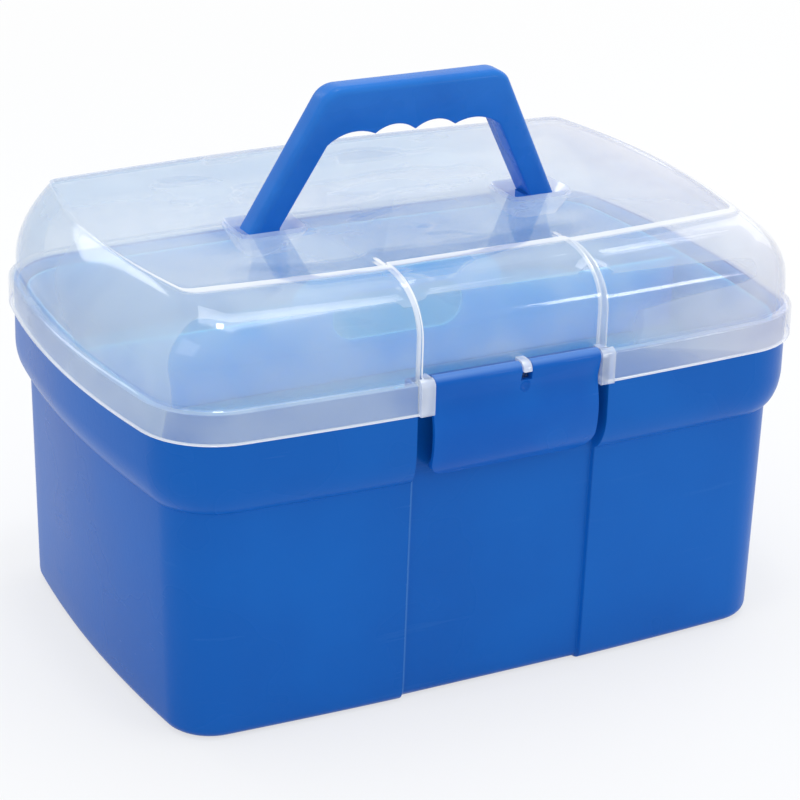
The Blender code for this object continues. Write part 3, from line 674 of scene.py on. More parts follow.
class Nodes:
    """A small helper that places and links the nodes of one tree."""

    def __init__(self, tree: Tree) -> None:
        """Take over an empty tree."""
        self.tree = tree
        self.count = 0

    def add(self, kind: str, **settings: object) -> Node:
        """Add a node.

        Args:
            kind: Its type.
            settings: Values of its properties.

        Returns:
            The node.
        """
        node = self.tree.nodes.new(kind)
        node.location = (200 * (self.count % 6), -220 * (self.count // 6))
        self.count += 1
        for name, value in settings.items():
            setattr(node, name, value)
        return node

    def feed(self, node: Node, socket: str | int, value: object) -> None:
        """Link an output to a node's input, or set the input to a value.

        Args:
            node: The node.
            socket: Name or number of its input.
            value: The output or value.
        """
        if isinstance(value, Socket):
            self.tree.links.new(value, node.inputs[socket])
        else:
            node.inputs[socket].default_value = value

    def settle(self, node: Node, **values: object) -> None:
        """Feed inputs by name; a low line in a name stands for a space."""
        for name, value in values.items():
            self.feed(node, name.replace("_", " "), value)

    def math(self, operation: str, first: object, second: object = 0.0, clamp: bool = False) -> Socket:
        """Work out a value from two others.

        Args:
            operation: Name of the operation.
            first: First value or output.
            second: Second value or output.
            clamp: Whether the result stays from 0 to 1.

        Returns:
            The result's output.
        """
        node = self.add("ShaderNodeMath", operation=operation, use_clamp=clamp)
        self.feed(node, 0, first)
        self.feed(node, 1, second)
        return node.outputs[0]

    def product(self, first: object, *others: object) -> Socket:
        """Multiply a value by some others."""
        for other in others:
            first = self.math("MULTIPLY", first, other)
        return first

    def ramp(
        self, value: object, low: object, high: object, to_low: object = 0.0, to_high: object = 1.0
    ) -> Socket:
        """Spread a range of values smoothly over another one.

        Args:
            value: The value or output.
            low: Where the range starts.
            high: Where it ends.
            to_low: Result at the start.
            to_high: Result at the end.

        Returns:
            The result's output.
        """
        node = self.add("ShaderNodeMapRange", interpolation_type="SMOOTHSTEP")
        for number, each in enumerate((value, low, high, to_low, to_high)):
            self.feed(node, number, each)
        return node.outputs[0]

    def blend(self, share: object, first: object, second: object) -> Socket:
        """Mix two colours.

        Args:
            share: Share of the second.
            first: First colour or output.
            second: Second colour or output.

        Returns:
            The mixed colour's output.
        """
        node = self.add("ShaderNodeMix", data_type="RGBA")
        for number, value in ((0, share), (6, first), (7, second)):
            self.feed(node, number, (*value, 1.0) if isinstance(value, tuple) else value)
        return node.outputs[2]

    def noise(self, vector: object, scale: object, detail: float, roughness: float = 0.5) -> Socket:
        """Noise over a vector.

        Args:
            vector: The coordinates' output.
            scale: Waves to a metre.
            detail: Number of finer layers.
            roughness: Strength of the finer layers.

        Returns:
            The noise value's output.
        """
        node = self.add("ShaderNodeTexNoise")
        self.settle(node, Vector=vector, Scale=scale, Detail=detail, Roughness=roughness)
        return node.outputs["Fac"]

    def spot(self) -> Socket:
        """Where a point lies on the piece, as a vector."""
        return self.add("ShaderNodeTexCoord").outputs["Object"]

    def place(self) -> list[Socket]:
        """X, Y and Z of a point on the piece."""
        node = self.add("ShaderNodeSeparateXYZ")
        self.feed(node, 0, self.spot())
        return list(node.outputs)

    def group(self, tree: Tree, **values: object) -> Node:
        """Place a node group and feed its inputs by name."""
        node = self.add("ShaderNodeGroup", node_tree=tree)
        self.settle(node, **values)
        return node

    def band(self, value: object, level: float, core: float, fade: float) -> Socket:
        """Mask a thin band round a level.

        Args:
            value: The value's output.
            level: Middle of the band.
            core: Distance up to which the mask is full.
            fade: Distance where it ends.

        Returns:
            The mask's output.
        """
        return self.group(level_band(), Value=value, Level=level, Core=core, Fade=fade).outputs[0]

    def seen(self) -> Socket:
        """1 to the camera, in a reflection and through a clear piece, and 0 to light.

        Returns:
            The value's output.
        """
        path = self.add("ShaderNodeLightPath").outputs
        direct = self.math("MAXIMUM", path["Is Camera Ray"], path["Is Glossy Ray"])
        return self.math("MAXIMUM", direct, path["Is Transmission Ray"])


def new_group(name: str, inputs: dict[str, float], outputs: Sequence[str]) -> tuple[Nodes, dict, Node]:
    """Start a shader node group.

    Args:
        name: Name of the group.
        inputs: Its number inputs and their usual values.
        outputs: Names of its number outputs.

    Returns:
        The node helper, the group's inputs by name and its output node.
    """
    tree = bpy.data.node_groups.new(name, "ShaderNodeTree")
    for title, value in inputs.items():
        tree.interface.new_socket(title, in_out="INPUT", socket_type="NodeSocketFloat").default_value = value
    for title in outputs:
        tree.interface.new_socket(title, in_out="OUTPUT", socket_type="NodeSocketFloat")
    nodes = Nodes(tree)
    source = nodes.add("NodeGroupInput")
    return nodes, {title: source.outputs[title] for title in inputs}, nodes.add("NodeGroupOutput")


def moulded_skin() -> Tree:
    """Group for the skin of a moulding: slow flow clouds, a fine orange peel and faint handling marks.

    Returns:
        The group, built once.
    """
    tree = bpy.data.node_groups.get("moulded_skin")
    if tree:
        return tree
    nodes, given, result = new_group(
        "moulded_skin", {"Cloud Scale": 9.0, "Peel Scale": 420.0, "Mark Scale": 26.0}, ("Cloud", "Peel", "Marks")
    )
    spot = nodes.spot()
    cloud = nodes.noise(spot, given["Cloud Scale"], 3.0, 0.55)
    peel = nodes.noise(spot, given["Peel Scale"], 2.0)
    stretched = nodes.add("ShaderNodeMapping")
    turn = (0.0, math.radians(24), math.radians(12))
    nodes.settle(stretched, Vector=spot, Scale=(0.35, 1.0, 5.0), Rotation=turn)
    streak = nodes.noise(stretched.outputs[0], given["Mark Scale"], 5.0, 0.62)
    nodes.settle(result, Cloud=nodes.ramp(cloud, 0.3, 0.7), Peel=peel, Marks=nodes.ramp(streak, 0.62, 0.74))
    return nodes.tree


def level_band() -> Tree:
    """Group that masks a thin band round a level, for an edge where plastic turns white.

    Returns:
        The group, built once.
    """
    tree = bpy.data.node_groups.get("level_band")
    if tree:
        return tree
    usual = {"Value": 0.0, "Level": 0.0, "Core": 0.0003, "Fade": 0.001}
    nodes, given, result = new_group("level_band", usual, ("Mask",))
    off = nodes.math("ABSOLUTE", nodes.math("SUBTRACT", given["Value"], given["Level"]))
    nodes.feed(result, "Mask", nodes.ramp(off, given["Core"], given["Fade"], 1.0, 0.0))
    return nodes.tree


def new_material(
    name: str, kind: str = "ShaderNodeBsdfPrincipled"
) -> tuple[bpy.types.Material, Nodes, Node]:
    """Start a material.

    Args:
        name: Name of the material.
        kind: Type of its shader.

    Returns:
        The material, its node helper and its shader.
    """
    material = bpy.data.materials.new(name)
    material.use_nodes = True
    material.node_tree.nodes.clear()
    nodes = Nodes(material.node_tree)
    shader = nodes.add(kind)
    nodes.feed(nodes.add("ShaderNodeOutputMaterial"), "Surface", shader.outputs[0])
    return material, nodes, shader


def raise_peel(nodes: Nodes, shader: Node, skin: Node, strength: float, depth: float) -> None:
    """Let a skin's fine peel bump a shader.

    Args:
        nodes: The material's node helper.
        shader: The shader.
        skin: The moulded skin's node.
        strength: Strength of the bump.
        depth: Its depth.
    """
    bump = nodes.add("ShaderNodeBump")
    nodes.settle(bump, Strength=strength, Distance=depth, Height=skin.outputs["Peel"])
    nodes.feed(shader, "Normal", bump.outputs[0])


@dataclass(frozen=True)
class BrightEdge:
    """Where blue plastic catches the light: the left edge of the groove in front, or all above a level."""

    width: float = 0.0
    core: float = 0.0003
    fade: float = 0.0014
    front: Pair = (-0.096, -0.092)
    share: float = 0.55
    level: float = 0.0
    rise: float = 0.0022
    top_share: float = 0.6

    def mask(self, nodes: Nodes, lines: CaseLines) -> Socket:
        """Mask the bright part.

        Args:
            nodes: The material's node helper.
            lines: Levels of the case.

        Returns:
            The mask's output.
        """
        x, y, z = nodes.place()
        if self.level:
            return nodes.ramp(z, self.level, self.level + self.rise, 0.0, self.top_share)
        edge = nodes.band(nodes.product(x, -1.0), self.width, self.core, self.fade)
        near = nodes.ramp(y, *self.front, self.share, 0.0)
        return nodes.product(edge, near, nodes.ramp(z, lines.body_height, lines.ledge_height, 1.0, 0.0))


@dataclass(frozen=True)
class BluePlastic:
    """Glossy coloured polypropylene."""

    name: str
    colour: Colour
    deep: Colour
    # lighter colour for handling marks, and for a painted highlight where a bright edge is set
    wear_and_highlight: Colour
    gloss: float = 0.26
    dull: float = 0.40
    coat: float = 0.10
    coat_gloss: float = 0.12
    shine: float = 0.08
    cloud_scale: float = 9.0
    marks: float = 0.06
    bright: BrightEdge | None = None
    glow: float = 0.0
    glow_reach: Colour = (0.4, 0.8, 1.0)
    glow_depth: float = 0.02

    def material(self, lines: CaseLines = LINES) -> bpy.types.Material:
        """Build the material: flow clouds in the colour, handling marks and any painted highlight lightening it,
        marks in the gloss and a fine peel as bump.

        Args:
            lines: Levels and widths of the case, where edges catch the light.

        Returns:
            The material.
        """
        material, nodes, shader = new_material(self.name)
        skin = nodes.group(moulded_skin(), Cloud_Scale=self.cloud_scale)
        cloud, marks = skin.outputs["Cloud"], skin.outputs["Marks"]
        pale = nodes.product(marks, self.marks)
        # a bright edge is a painted highlight, mixed in with the handling marks
        if self.bright:
            pale = nodes.math("MAXIMUM", pale, self.bright.mask(nodes, lines))
        rough = nodes.ramp(cloud, 0.0, 1.0, self.gloss, mixed(self.gloss, self.dull, 0.5))
        dulled = nodes.product(marks, (self.dull - self.gloss) / 2)
        nodes.settle(
            shader,
            Base_Color=nodes.blend(pale, nodes.blend(cloud, self.deep, self.colour), self.wear_and_highlight),
            Roughness=nodes.math("ADD", rough, dulled, clamp=True),
            IOR=1.5,
            Specular_IOR_Level=self.shine,
            Coat_Weight=self.coat,
            Coat_Roughness=self.coat_gloss,
            Subsurface_Weight=self.glow,
            Subsurface_Radius=self.glow_reach,
            Subsurface_Scale=self.glow_depth,
        )
        raise_peel(nodes, shader, skin, 0.25, 0.0002)
        return material


@dataclass(frozen=True)
class WavyFilm:
    """The wavy film on the lid's top panel: clearer pools with white outlines."""

    stretch: Triple = (0.8, 2.0, 1.0)
    scale: float = 20.0
    detail: float = 1.5
    depth: Pair = (0.0021, 0.0025)
    centre_x: float = -0.02
    reach: Pair = (0.070, 0.100)
    shore: float = 0.54
    shore_width: Pair = (0.001, 0.012)
    shore_share: float = 0.3
    pool: Pair = (0.50, 0.58)
    haze: Pair = (0.04, -0.11)

    def masks(self, nodes: Nodes, lines: CaseLines) -> tuple[Socket, Socket]:
        """Work out the film.

        Args:
            nodes: The material's node helper.
            lines: Levels and widths of the case, where the panel lies.

        Returns:
            The change of haze, and the mask of the white outlines.
        """
        x, _, z = nodes.place()
        stretched = nodes.add("ShaderNodeVectorMath", operation="MULTIPLY")
        nodes.feed(stretched, 0, nodes.spot())
        nodes.feed(stretched, 1, self.stretch)
        wave = nodes.noise(stretched.outputs[0], self.scale, self.detail)
        aside = nodes.math("ABSOLUTE", nodes.math("SUBTRACT", x, self.centre_x))
        middle = nodes.ramp(aside, *self.reach, 1.0, 0.0)
        panel = nodes.product(nodes.band(z, lines.panel_height, *self.depth), middle)
        shore = nodes.product(panel, nodes.band(wave, self.shore, *self.shore_width), self.shore_share)
        return nodes.product(panel, nodes.ramp(wave, *self.pool, *self.haze)), shore


@dataclass(frozen=True)
class EdgeHighlights:
    """White painted highlights along edges of the lid's sheet: lip, ridge round the panel, and the groove's two ribs.
    """

    lip: Pair = (0.0005, 0.0012)
    ridge: Pair = (0.00005, 0.00035)
    ridge_near: tuple = (-0.062, 0.040, 0.8, 0.15)
    rib_off: float = 0.0007
    rib: Pair = (0.0009, 0.0014)
    rib_front: tuple = (-0.066, -0.060, 1.0, 0.0)
    rib_left: tuple = (-0.02, 0.02, 0.95, 0.6)

    def mask(self, nodes: Nodes, lines: CaseLines, lip_height: float) -> Socket:
        """Mask the painted edge highlights.

        Args:
            nodes: The material's node helper.
            lines: Levels and widths of the case.
            lip_height: Level of the lid's lower edge.

        Returns:
            The mask's output.
        """
        x, y, z = nodes.place()
        lip = nodes.band(z, lip_height, *self.lip)
        ridge = nodes.product(nodes.band(z, lines.crest_height, *self.ridge), nodes.ramp(y, *self.ridge_near))
        flank = nodes.band(nodes.math("ABSOLUTE", x), lines.groove_half + self.rib_off, *self.rib)
        ribs = nodes.product(flank, nodes.ramp(y, *self.rib_front), nodes.ramp(x, *self.rib_left))
        return nodes.math("MAXIMUM", nodes.math("MAXIMUM", lip, ridge), ribs, clamp=True)


@dataclass(frozen=True)
class ClearPlastic:
    """Clear polypropylene: a milky haze, lighter and warmer towards the right end as painted light, that gets denser
    where it is seen edge-on.
    """

    name: str
    tint: Colour = linear(197, 217, 234)
    right_light: Colour = linear(238, 236, 240)
    right_light_from: Pair = (0.04, 0.17)
    # white for the haze clouds and for the painted edge highlights
    white: Colour = linear(246, 249, 255)
    haze: float = 0.24
    haze_spread: float = 0.07
    grazing: float = 0.30
    facing: float = 0.35
    edge: float = 0.88
    light_share: float = 0.12
    gloss: Pair = (0.06, 0.16)
    coat_gloss: float = 0.08
    glassiness: float = 2.0
    # painted highlights along the lid's edges, whiter and more opaque
    edges: EdgeHighlights | None = None
    film: WavyFilm | None = None

    def material(self, lines: CaseLines, lip_height: float) -> bpy.types.Material:
        """Build the material.

        Args:
            lines: Levels and widths of the case, where the painted edge highlights lie.
            lip_height: Level of the lid's lower edge.

        Returns:
            The material.
        """
        material, nodes, shader = new_material(self.name)
        skin = nodes.group(moulded_skin(), Cloud_Scale=14.0, Peel_Scale=150.0)
        edge_on = nodes.add("ShaderNodeLayerWeight")
        nodes.feed(edge_on, "Blend", self.facing)
        low, high = self.haze - self.haze_spread, self.haze + self.haze_spread
        cloudy = nodes.ramp(skin.outputs["Cloud"], 0.0, 1.0, low, high)
        alpha = nodes.math("ADD", cloudy, nodes.product(edge_on.outputs["Fresnel"], self.grazing), clamp=True)
        # painted light: the colour turns a lighter, warmer white towards the right end
        colour = nodes.blend(nodes.ramp(nodes.place()[0], *self.right_light_from), self.tint, self.right_light)
        # whiter is the haze clouds, or, with edges set, the painted edge highlights and the film's outlines
        whiter = skin.outputs["Cloud"]
        if self.edges and self.film:
            film, shore = self.film.masks(nodes, lines)
            whiter = nodes.math("MAXIMUM", self.edges.mask(nodes, lines, lip_height), shore, clamp=True)
            alpha = nodes.ramp(whiter, 0.0, 1.0, nodes.math("ADD", alpha, film, clamp=True), self.edge)
        path = nodes.add("ShaderNodeLightPath").outputs
        lighting = nodes.math("MAXIMUM", path["Is Shadow Ray"], path["Is Diffuse Ray"])
        passed = nodes.ramp(lighting, 0.0, 1.0, 1.0, self.light_share)
        nodes.settle(
            shader,
            Base_Color=nodes.blend(whiter, colour, self.white),
            Alpha=nodes.math("MULTIPLY", alpha, passed, clamp=True),
            Roughness=nodes.ramp(skin.outputs["Marks"], 0.0, 1.0, *self.gloss),
            IOR=self.glassiness,
            Coat_Weight=1.0,
            Coat_IOR=self.glassiness,
            Coat_Roughness=self.coat_gloss,
        )
        raise_peel(nodes, shader, skin, 0.12, 0.0004)
        return material


TUB_BLUE = BluePlastic(
    "tub_blue",
    linear(14, 101, 192),
    linear(12, 94, 184),
    linear(96, 156, 222),
    # painted highlight along the left edge of the body's front groove
    bright=BrightEdge(width=LINES.body_groove_half),
)
# lighter blue for the tub's inner faces: painted light for light through the wall, lifting the shade inside
TUB_INNER_PAINTED_LIGHT = BluePlastic("tub_inner_painted_light", linear(60, 158, 236), linear(52, 148, 228), linear(120, 180, 236))
HANDLE_BLUE = BluePlastic(
    "handle_blue", linear(40, 118, 207), linear(32, 106, 195), linear(100, 160, 230), gloss=0.18, cloud_scale=22.0
)
LATCH_BLUE = BluePlastic(
    "latch_blue",
    linear(16, 101, 194),
    linear(14, 92, 186),
    linear(110, 152, 216),
    gloss=0.20,
    cloud_scale=18.0,
    # painted highlight along the latch's top bead
    bright=BrightEdge(level=LINES.latch_axis[1] + 0.0012),
)
TRAY_BLUE = BluePlastic("tray_blue", linear(44, 156, 236), linear(38, 148, 230), linear(110, 176, 236), glow=0.6)
# clear lid with painted highlights along its edges
LID_CLEAR = ClearPlastic("lid_clear", edges=EdgeHighlights(), film=WavyFilm())
LID_MILKY = ClearPlastic(
    "lid_milky", tint=linear(212, 226, 250), right_light=linear(216, 228, 250), haze=0.56, haze_spread=0.10, grazing=0.24
)


def dress(piece: Piece, *materials: bpy.types.Material) -> None:
    """Give a piece its materials."""
    piece.data.materials.clear()
    for material in materials:
        piece.data.materials.append(material)


def hand_over(piece: Piece, node: str, body: str) -> Piece:
    """Let a piece stand for a CAD node.

    Args:
        piece: The piece.
        node: The node that it replaces.
        body: The body that it moves with.

    Returns:
        The piece.
    """
    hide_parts(node)
    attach(piece, body)
    return piece


@dataclass
class Tub:
    """The blue box: drafted body, rounded collar, tray ledge, catch rib and hinge ears."""

    lines: CaseLines = LINES
    fillet: float = 0.0055
    floor: float = 0.0025
    rim_draft: float = 0.0003
    rim_band: float = 0.010
    catch_half: float = 0.034
    catch_bottom: float = 0.1205
    catch_height: float = 0.0030
    catch_reach: float = 0.0032
    catch_edge: float = 0.0008
    catch_soft: float = 0.0006
    ear_thickness: float = 0.0035
    ear_soft: float = 0.0005

    def outside(self) -> list[Ring]:
        """Go up the outer face, from the flat base to the top of the collar's rounding.

        Returns:
            The rings.
        """
        lines, rings = self.lines, []
        for inset, height in foot_steps(self.fillet, range(0, 91, 15)):
            rings.append(lines.body(height).inset(inset, 0.0, inset).ring(height))
        for share in (0.15, 0.3, 0.5, 0.7, 0.85, 0.94):
            height = lines.body_height * share
            rings.append(lines.body(height).ring(height))
        for share, height, _ in lines.collar_levels(12):
            rings.append(lines.shoulder.blended(lines.collar, share).ring(height))
        return rings

    def rim(self) -> list[Ring]:
        """Go up the collar and over the rounded rim.

        Returns:
            The rings.
        """
        collar, half = self.lines.collar, self.lines.tub_wall / 2
        low = self.lines.rim_height - half
        rings = [collar.inset(self.rim_draft / 2).ring((low + self.lines.body_height) / 2 + self.rim_band)]
        for inset, rise in lip_steps(half):
            inset = max(inset, self.rim_draft)
            rings.append(collar.inset(inset, inset, inset).ring(low + rise))
        return rings

    def inside(self) -> list[Ring]:
        """Go down the inner face, over the tray ledge, to the floor.

        Returns:
            The rings.
        """
        lines, wall, ledge = self.lines, self.lines.tub_wall, self.lines.ledge_height
        levels = []
        for share, height, tilt in lines.collar_levels(12):
            section = lines.shoulder.blended(lines.collar, share)
            levels.append((section.inset(wall * math.cos(tilt), wall, wall), height + wall * math.sin(tilt)))
        kept = [level for level in levels if level[1] > ledge]
        below = [level for level in levels if level[1] <= ledge][-1]
        edge = below[0].blended(kept[0][0], (ledge - below[1]) / (kept[0][1] - below[1]))
        rings = [section.ring(height) for section, height in reversed(kept)] + [edge.ring(ledge)]
        body = lines.shoulder.inset(wall, wall, wall)
        rings += [replace(body, groove_half=edge.groove_half).ring(ledge), body.ring(lines.body_height)]
        for inset, rise in foot_steps(self.fillet - wall, range(90, -1, -15)):
            inset, height = wall + inset, self.floor + rise
            rings.append(lines.body(height).inset(inset, wall, inset).ring(height))
        return rings

    def catch(self) -> Piece:
        """Make the rib that the latch closes under.

        Returns:
            The rib.
        """
        groove, edge = self.lines.shoulder.groove_y, self.catch_edge
        middle, back = groove - self.catch_reach + edge, groove + self.lines.tub_wall / 2
        top = self.catch_bottom + self.catch_height
        profile = [(back, self.catch_bottom), (back, top)]
        profile += arc((middle, top - edge), edge, 90, 180, 4)
        profile += arc((middle, self.catch_bottom + edge), edge, 180, 270, 4)
        return prism("catch_rib", profile, Axis.ALONG, -self.catch_half, self.catch_half, self.catch_soft)

    def ears(self, side: int) -> list[Piece]:
        """Make two hinge ears and the rod between them.

        Args:
            side: -1 for the left and 1 for the right.

        Returns:
            The two ears and the rod.
        """
        lines, (y, z) = self.lines, self.lines.hinge_axis
        half = lines.clip_length / 2
        wall_y = lines.collar.back_y(lines.hinge_x + half) - lines.tub_wall / 2
        profile = [(wall_y, z - 3 * lines.knuckle), *arc((y, z), lines.knuckle, -60, 90, 14)]
        profile += [(wall_y, z + lines.knuckle)]
        made = []
        for end in (-1, 1):
            inner = side * lines.hinge_x + end * (half + lines.clip_gap)
            outer = inner + end * self.ear_thickness
            start, stop = min(inner, outer), max(inner, outer)
            made.append(prism("hinge_ear", profile, Axis.ALONG, start, stop, self.ear_soft))
        length = lines.clip_length + 2 * lines.clip_gap + self.ear_thickness
        return made + [rod("hinge_rod", Vector((side * lines.hinge_x, y, z)), lines.hinge_rod, length)]

    def is_inner(self, face: bpy.types.MeshPolygon) -> bool:
        """Tell whether a face of the shell looks into the tub, where a lighter blue is painted to stand for light
        coming through the wall.

        Args:
            face: The face.

        Returns:
            False for the front groove too.
        """
        place, normal, wall = face.center, face.normal, self.lines.tub_wall
        if abs(place.x) < self.lines.collar_groove_half + wall and place.y < self.lines.base.groove_y + wall:
            return False
        if abs(normal.z) > 0.9:
            return wall / 2 < place.z < self.lines.rim_height - wall and normal.z > 0
        return place.x * normal.x + place.y * normal.y < 0 and place.z < self.lines.rim_height - wall / 2

    def build(self) -> Piece:
        """Model the tub, dress it and let it stand for its node.

        Returns:
            The tub.
        """
        piece = loft("tub_shell", self.outside() + self.rim() + self.inside())
        dress(piece, TUB_BLUE.material(), TUB_INNER_PAINTED_LIGHT.material())
        for face in piece.data.polygons:
            # inner faces take the lighter blue, which is painted light
            face.material_index = int(self.is_inner(face))
        for tool in [self.catch(), *self.ears(-1), *self.ears(1)]:
            dress(tool, piece.data.materials[0])
            combine(piece, tool, Cut.JOIN)
        smooth(piece)
        return hand_over(piece, "tub", "tub")


@dataclass
class Lid:
    """The clear lid: sunken panel, domed shoulder, flange, cups, lugs, finger and hinge clips."""

    lines: CaseLines = LINES
    lip_height: float = 0.1474
    panel_border: float = 0.0016
    ridge_curve: tuple = ((1.0, 0.0), (0.86, 0.22), (0.62, 0.62), (0.38, 0.90), (0.18, 0.99))
    flange_curve: tuple = ((0.0, 0.0), (0.32, 0.13), (0.72, 0.42), (0.94, 0.75), (1.0, 1.0))
    dome_steps: int = 22
    cup_x: float = 0.0705
    cup_mouth: Pair = (0.01625, 0.0130)
    cup_floor: Pair = (0.0105, 0.0080)
    cup_flare: float = 0.0010
    cup_depth: float = 0.0105
    cup_wall: float = 0.0016
    cup_slot: Pair = (0.0043, 0.0033)
    cup_corner: float = 0.0035
    slot_corner: float = 0.0005
    lug_thickness: float = 0.0028
    lug_flank: float = 0.0040
    lug_proud: float = 0.00088
    lug_top: float = 0.1642
    lug_corner: float = 0.0035
    lug_edge: float = 0.0006
    soft: float = 0.0004
    pin: float = 0.0017
    finger_x: float = 0.0040
    finger_width: float = 0.0044
    finger_gap: float = 0.0005
    finger_thickness: float = 0.0017
    neck: float = 0.0020
    mouth: float = 0.0040
    bore_over: float = 0.002
    arm_top: float = 0.1575

    def top(self) -> list[Ring]:
        """Go from the panel over its ridge and down the dome.

        Returns:
            The rings.
        """
        lines, rings = self.lines, []
        for share, climb in self.ridge_curve:
            inset = self.panel_border * share
            rings.append(lines.crest.inset(inset, 0.0, inset).ring(lines.panel_height + lines.panel_sink * climb))
        return rings + [lines.dome(height).ring(height) for height, _ in reversed(lines.dome_levels(self.dome_steps))]

    def flange(self) -> list[Ring]:
        """Go over the flange and down the lip to its rounded lower edge.

        Returns:
            The rings.
        """
        lines, rings, half = self.lines, [], self.lines.lid_wall / 2
        for share, drop in through(list(self.flange_curve), 3):
            height = lines.rim_height + lines.flange_rounding * (1 - drop)
            rings.append(lines.side.blended(lines.lip, share).ring(height))
        for inset, rise in lip_steps(half):
            rings.append(lines.lip.inset(inset, inset, inset).ring(self.lip_height + half - rise))
        return rings

    def under(self) -> list[Ring]:
        """Go up the inner face to the underside of the panel.

        Returns:
            The rings.
        """
        lines, wall = self.lines, self.lines.lid_wall
        seat = lines.rim_height + lines.running_gap
        rings = [outline.inset(wall, wall, wall).ring(seat) for outline in (lines.lip, lines.side)]
        for height, turn in lines.dome_levels(self.dome_steps):
            inset = wall * math.cos(turn)
            rings.append(lines.dome(height).inset(inset, wall, inset).ring(height - wall * math.sin(turn)))
        border = lines.crest.inset(self.panel_border, 0.0, self.panel_border)
        return rings + [border.inset(wall, wall, wall).ring(lines.panel_height - wall)]

    def cup(self, side: int) -> list[Step]:
        """Make the funnel cup for one handle foot.

        Args:
            side: -1 for the left and 1 for the right.

        Returns:
            Its solids and what each does to the lid.
        """
        panel, wall, thin = self.lines.panel_height, self.cup_wall, self.lines.lid_wall
        floor, centre = panel - self.cup_depth, (side * self.cup_x, 0.0)

        def size(half: Pair, more: float, height: float) -> Triple:
            """One end of a solid, from two half sizes that are both made larger."""
            return (half[0] + more, half[1] + more, height)

        outer_top, outer_low = size(self.cup_mouth, wall, panel - thin / 2), size(self.cup_floor, wall, floor - wall)
        inner_top, inner_low = size(self.cup_mouth, self.cup_flare, panel + thin), size(self.cup_floor, 0.0, floor)
        slot_top, slot_low = size(self.cup_slot, 0.0, floor + wall), size(self.cup_slot, 0.0, floor - 3 * wall)
        return [
            (tapered("cup_outer", centre, outer_top, outer_low, self.cup_corner + wall), Cut.JOIN),
            (tapered("cup_inner", centre, inner_top, inner_low, self.cup_corner), Cut.REMOVE),
            (tapered("cup_slot", centre, slot_top, slot_low, self.slot_corner), Cut.REMOVE),
        ]

    def lug(self, side: int) -> list[Step]:
        """Make the lug beside the latch: a block at the strap, a flank in front of the lip, and the pin's hole.

        Args:
            side: -1 for the left and 1 for the right.

        Returns:
            Its solids and what each does to the lid.
        """
        lines, edge = self.lines, self.lug_edge
        front = lines.lip.front_y() - self.lug_proud
        face = arc((front + self.lug_corner, self.lug_top - self.lug_corner), self.lug_corner, 90, 180, 10)
        face += arc((front + edge, self.lip_height + edge), edge, 180, 270, 3)
        inner = side * (lines.groove_half - self.lug_thickness)
        made: list[Step] = []
        for name, back, reach in (
            ("lug", lines.strap_y + lines.lid_wall / 2, lines.lid_wall / 2),
            ("lug_flank", lines.lip.front_y() + lines.lid_wall, self.lug_flank),
        ):
            outer = side * (lines.groove_half + reach)
            profile = [(back, self.lip_height), (back, self.lug_top)] + face
            made.append((prism(name, profile, Axis.ALONG, min(inner, outer), max(inner, outer), self.soft), Cut.JOIN))
        y, z = lines.latch_axis
        middle = Vector((side * (lines.groove_half - self.lug_thickness / 2), y, z))
        hole = rod("pin_hole", middle, self.pin + lines.pin_clearance, 2 * self.lug_thickness)
        return made + [(hole, Cut.REMOVE)]

    def finger(self) -> list[Step]:
        """Make the short hooked finger over the latch's neck.

        Returns:
            The finger, joined to the lid.
        """
        y, z = self.lines.latch_axis
        inner = self.neck + self.finger_gap
        outer = inner + self.finger_thickness
        root = self.lines.strap_y + self.lines.lid_wall / 2
        profile = [(root, z + outer)] + arc((y, z), outer, 90, 185, 14)
        profile += arc((y, z), inner, 185, 90, 12) + [(root, z + inner)]
        start = self.finger_x - self.finger_width / 2
        return [(prism("finger", profile, Axis.ALONG, start, start + self.finger_width, self.soft), Cut.JOIN)]

    def clip(self, side: int) -> list[Step]:
        """Make the clip at the back that snaps over the tub's rod.

        Args:
            side: -1 for the left and 1 for the right.

        Returns:
            Its solids and what each does to the lid.
        """
        lines, half = self.lines, self.lines.clip_length / 2
        y, z = lines.hinge_axis
        middle, reach = side * lines.hinge_x, half + lines.clip_gap
        wall_y = lines.lip.back_y(lines.hinge_x + half) - lines.lid_wall / 2
        profile = [(wall_y, self.arm_top), (wall_y, self.lip_height + lines.running_gap)]
        profile += arc((y, z), lines.knuckle, 150, 400, 22)
        near, far, low = y - self.mouth / 2, y + self.mouth / 2, z - 2 * lines.knuckle
        opening = [(near, low), (far, low), (far, z), (near, z)]
        bore_length = lines.clip_length + self.bore_over
        bore = rod("clip_bore", Vector((middle, y, z)), lines.hinge_rod + lines.pin_clearance, bore_length)
        return [
            (prism("hinge_clip", profile, Axis.ALONG, middle - half, middle + half, self.soft), Cut.JOIN),
            (bore, Cut.REMOVE),
            (prism("clip_mouth", opening, Axis.ALONG, middle - reach, middle + reach), Cut.REMOVE),
        ]

    def build(self) -> Piece:
        """Model the lid, dress it and let it stand for its node.

        Returns:
            The lid.
        """
        clear, milky = (finish.material(self.lines, self.lip_height) for finish in (LID_CLEAR, LID_MILKY))
        piece = loft("clear_lid", self.top() + self.flange() + self.under())
        dress(piece, clear, milky)
        steps = self.cup(-1) + self.cup(1) + self.lug(-1) + self.lug(1) + self.finger() + self.clip(-1) + self.clip(1)
        for tool, cut in steps:
            dress(tool, milky)
            combine(piece, tool, cut)
        smooth(piece)
        return hand_over(piece, "lid", "lid")


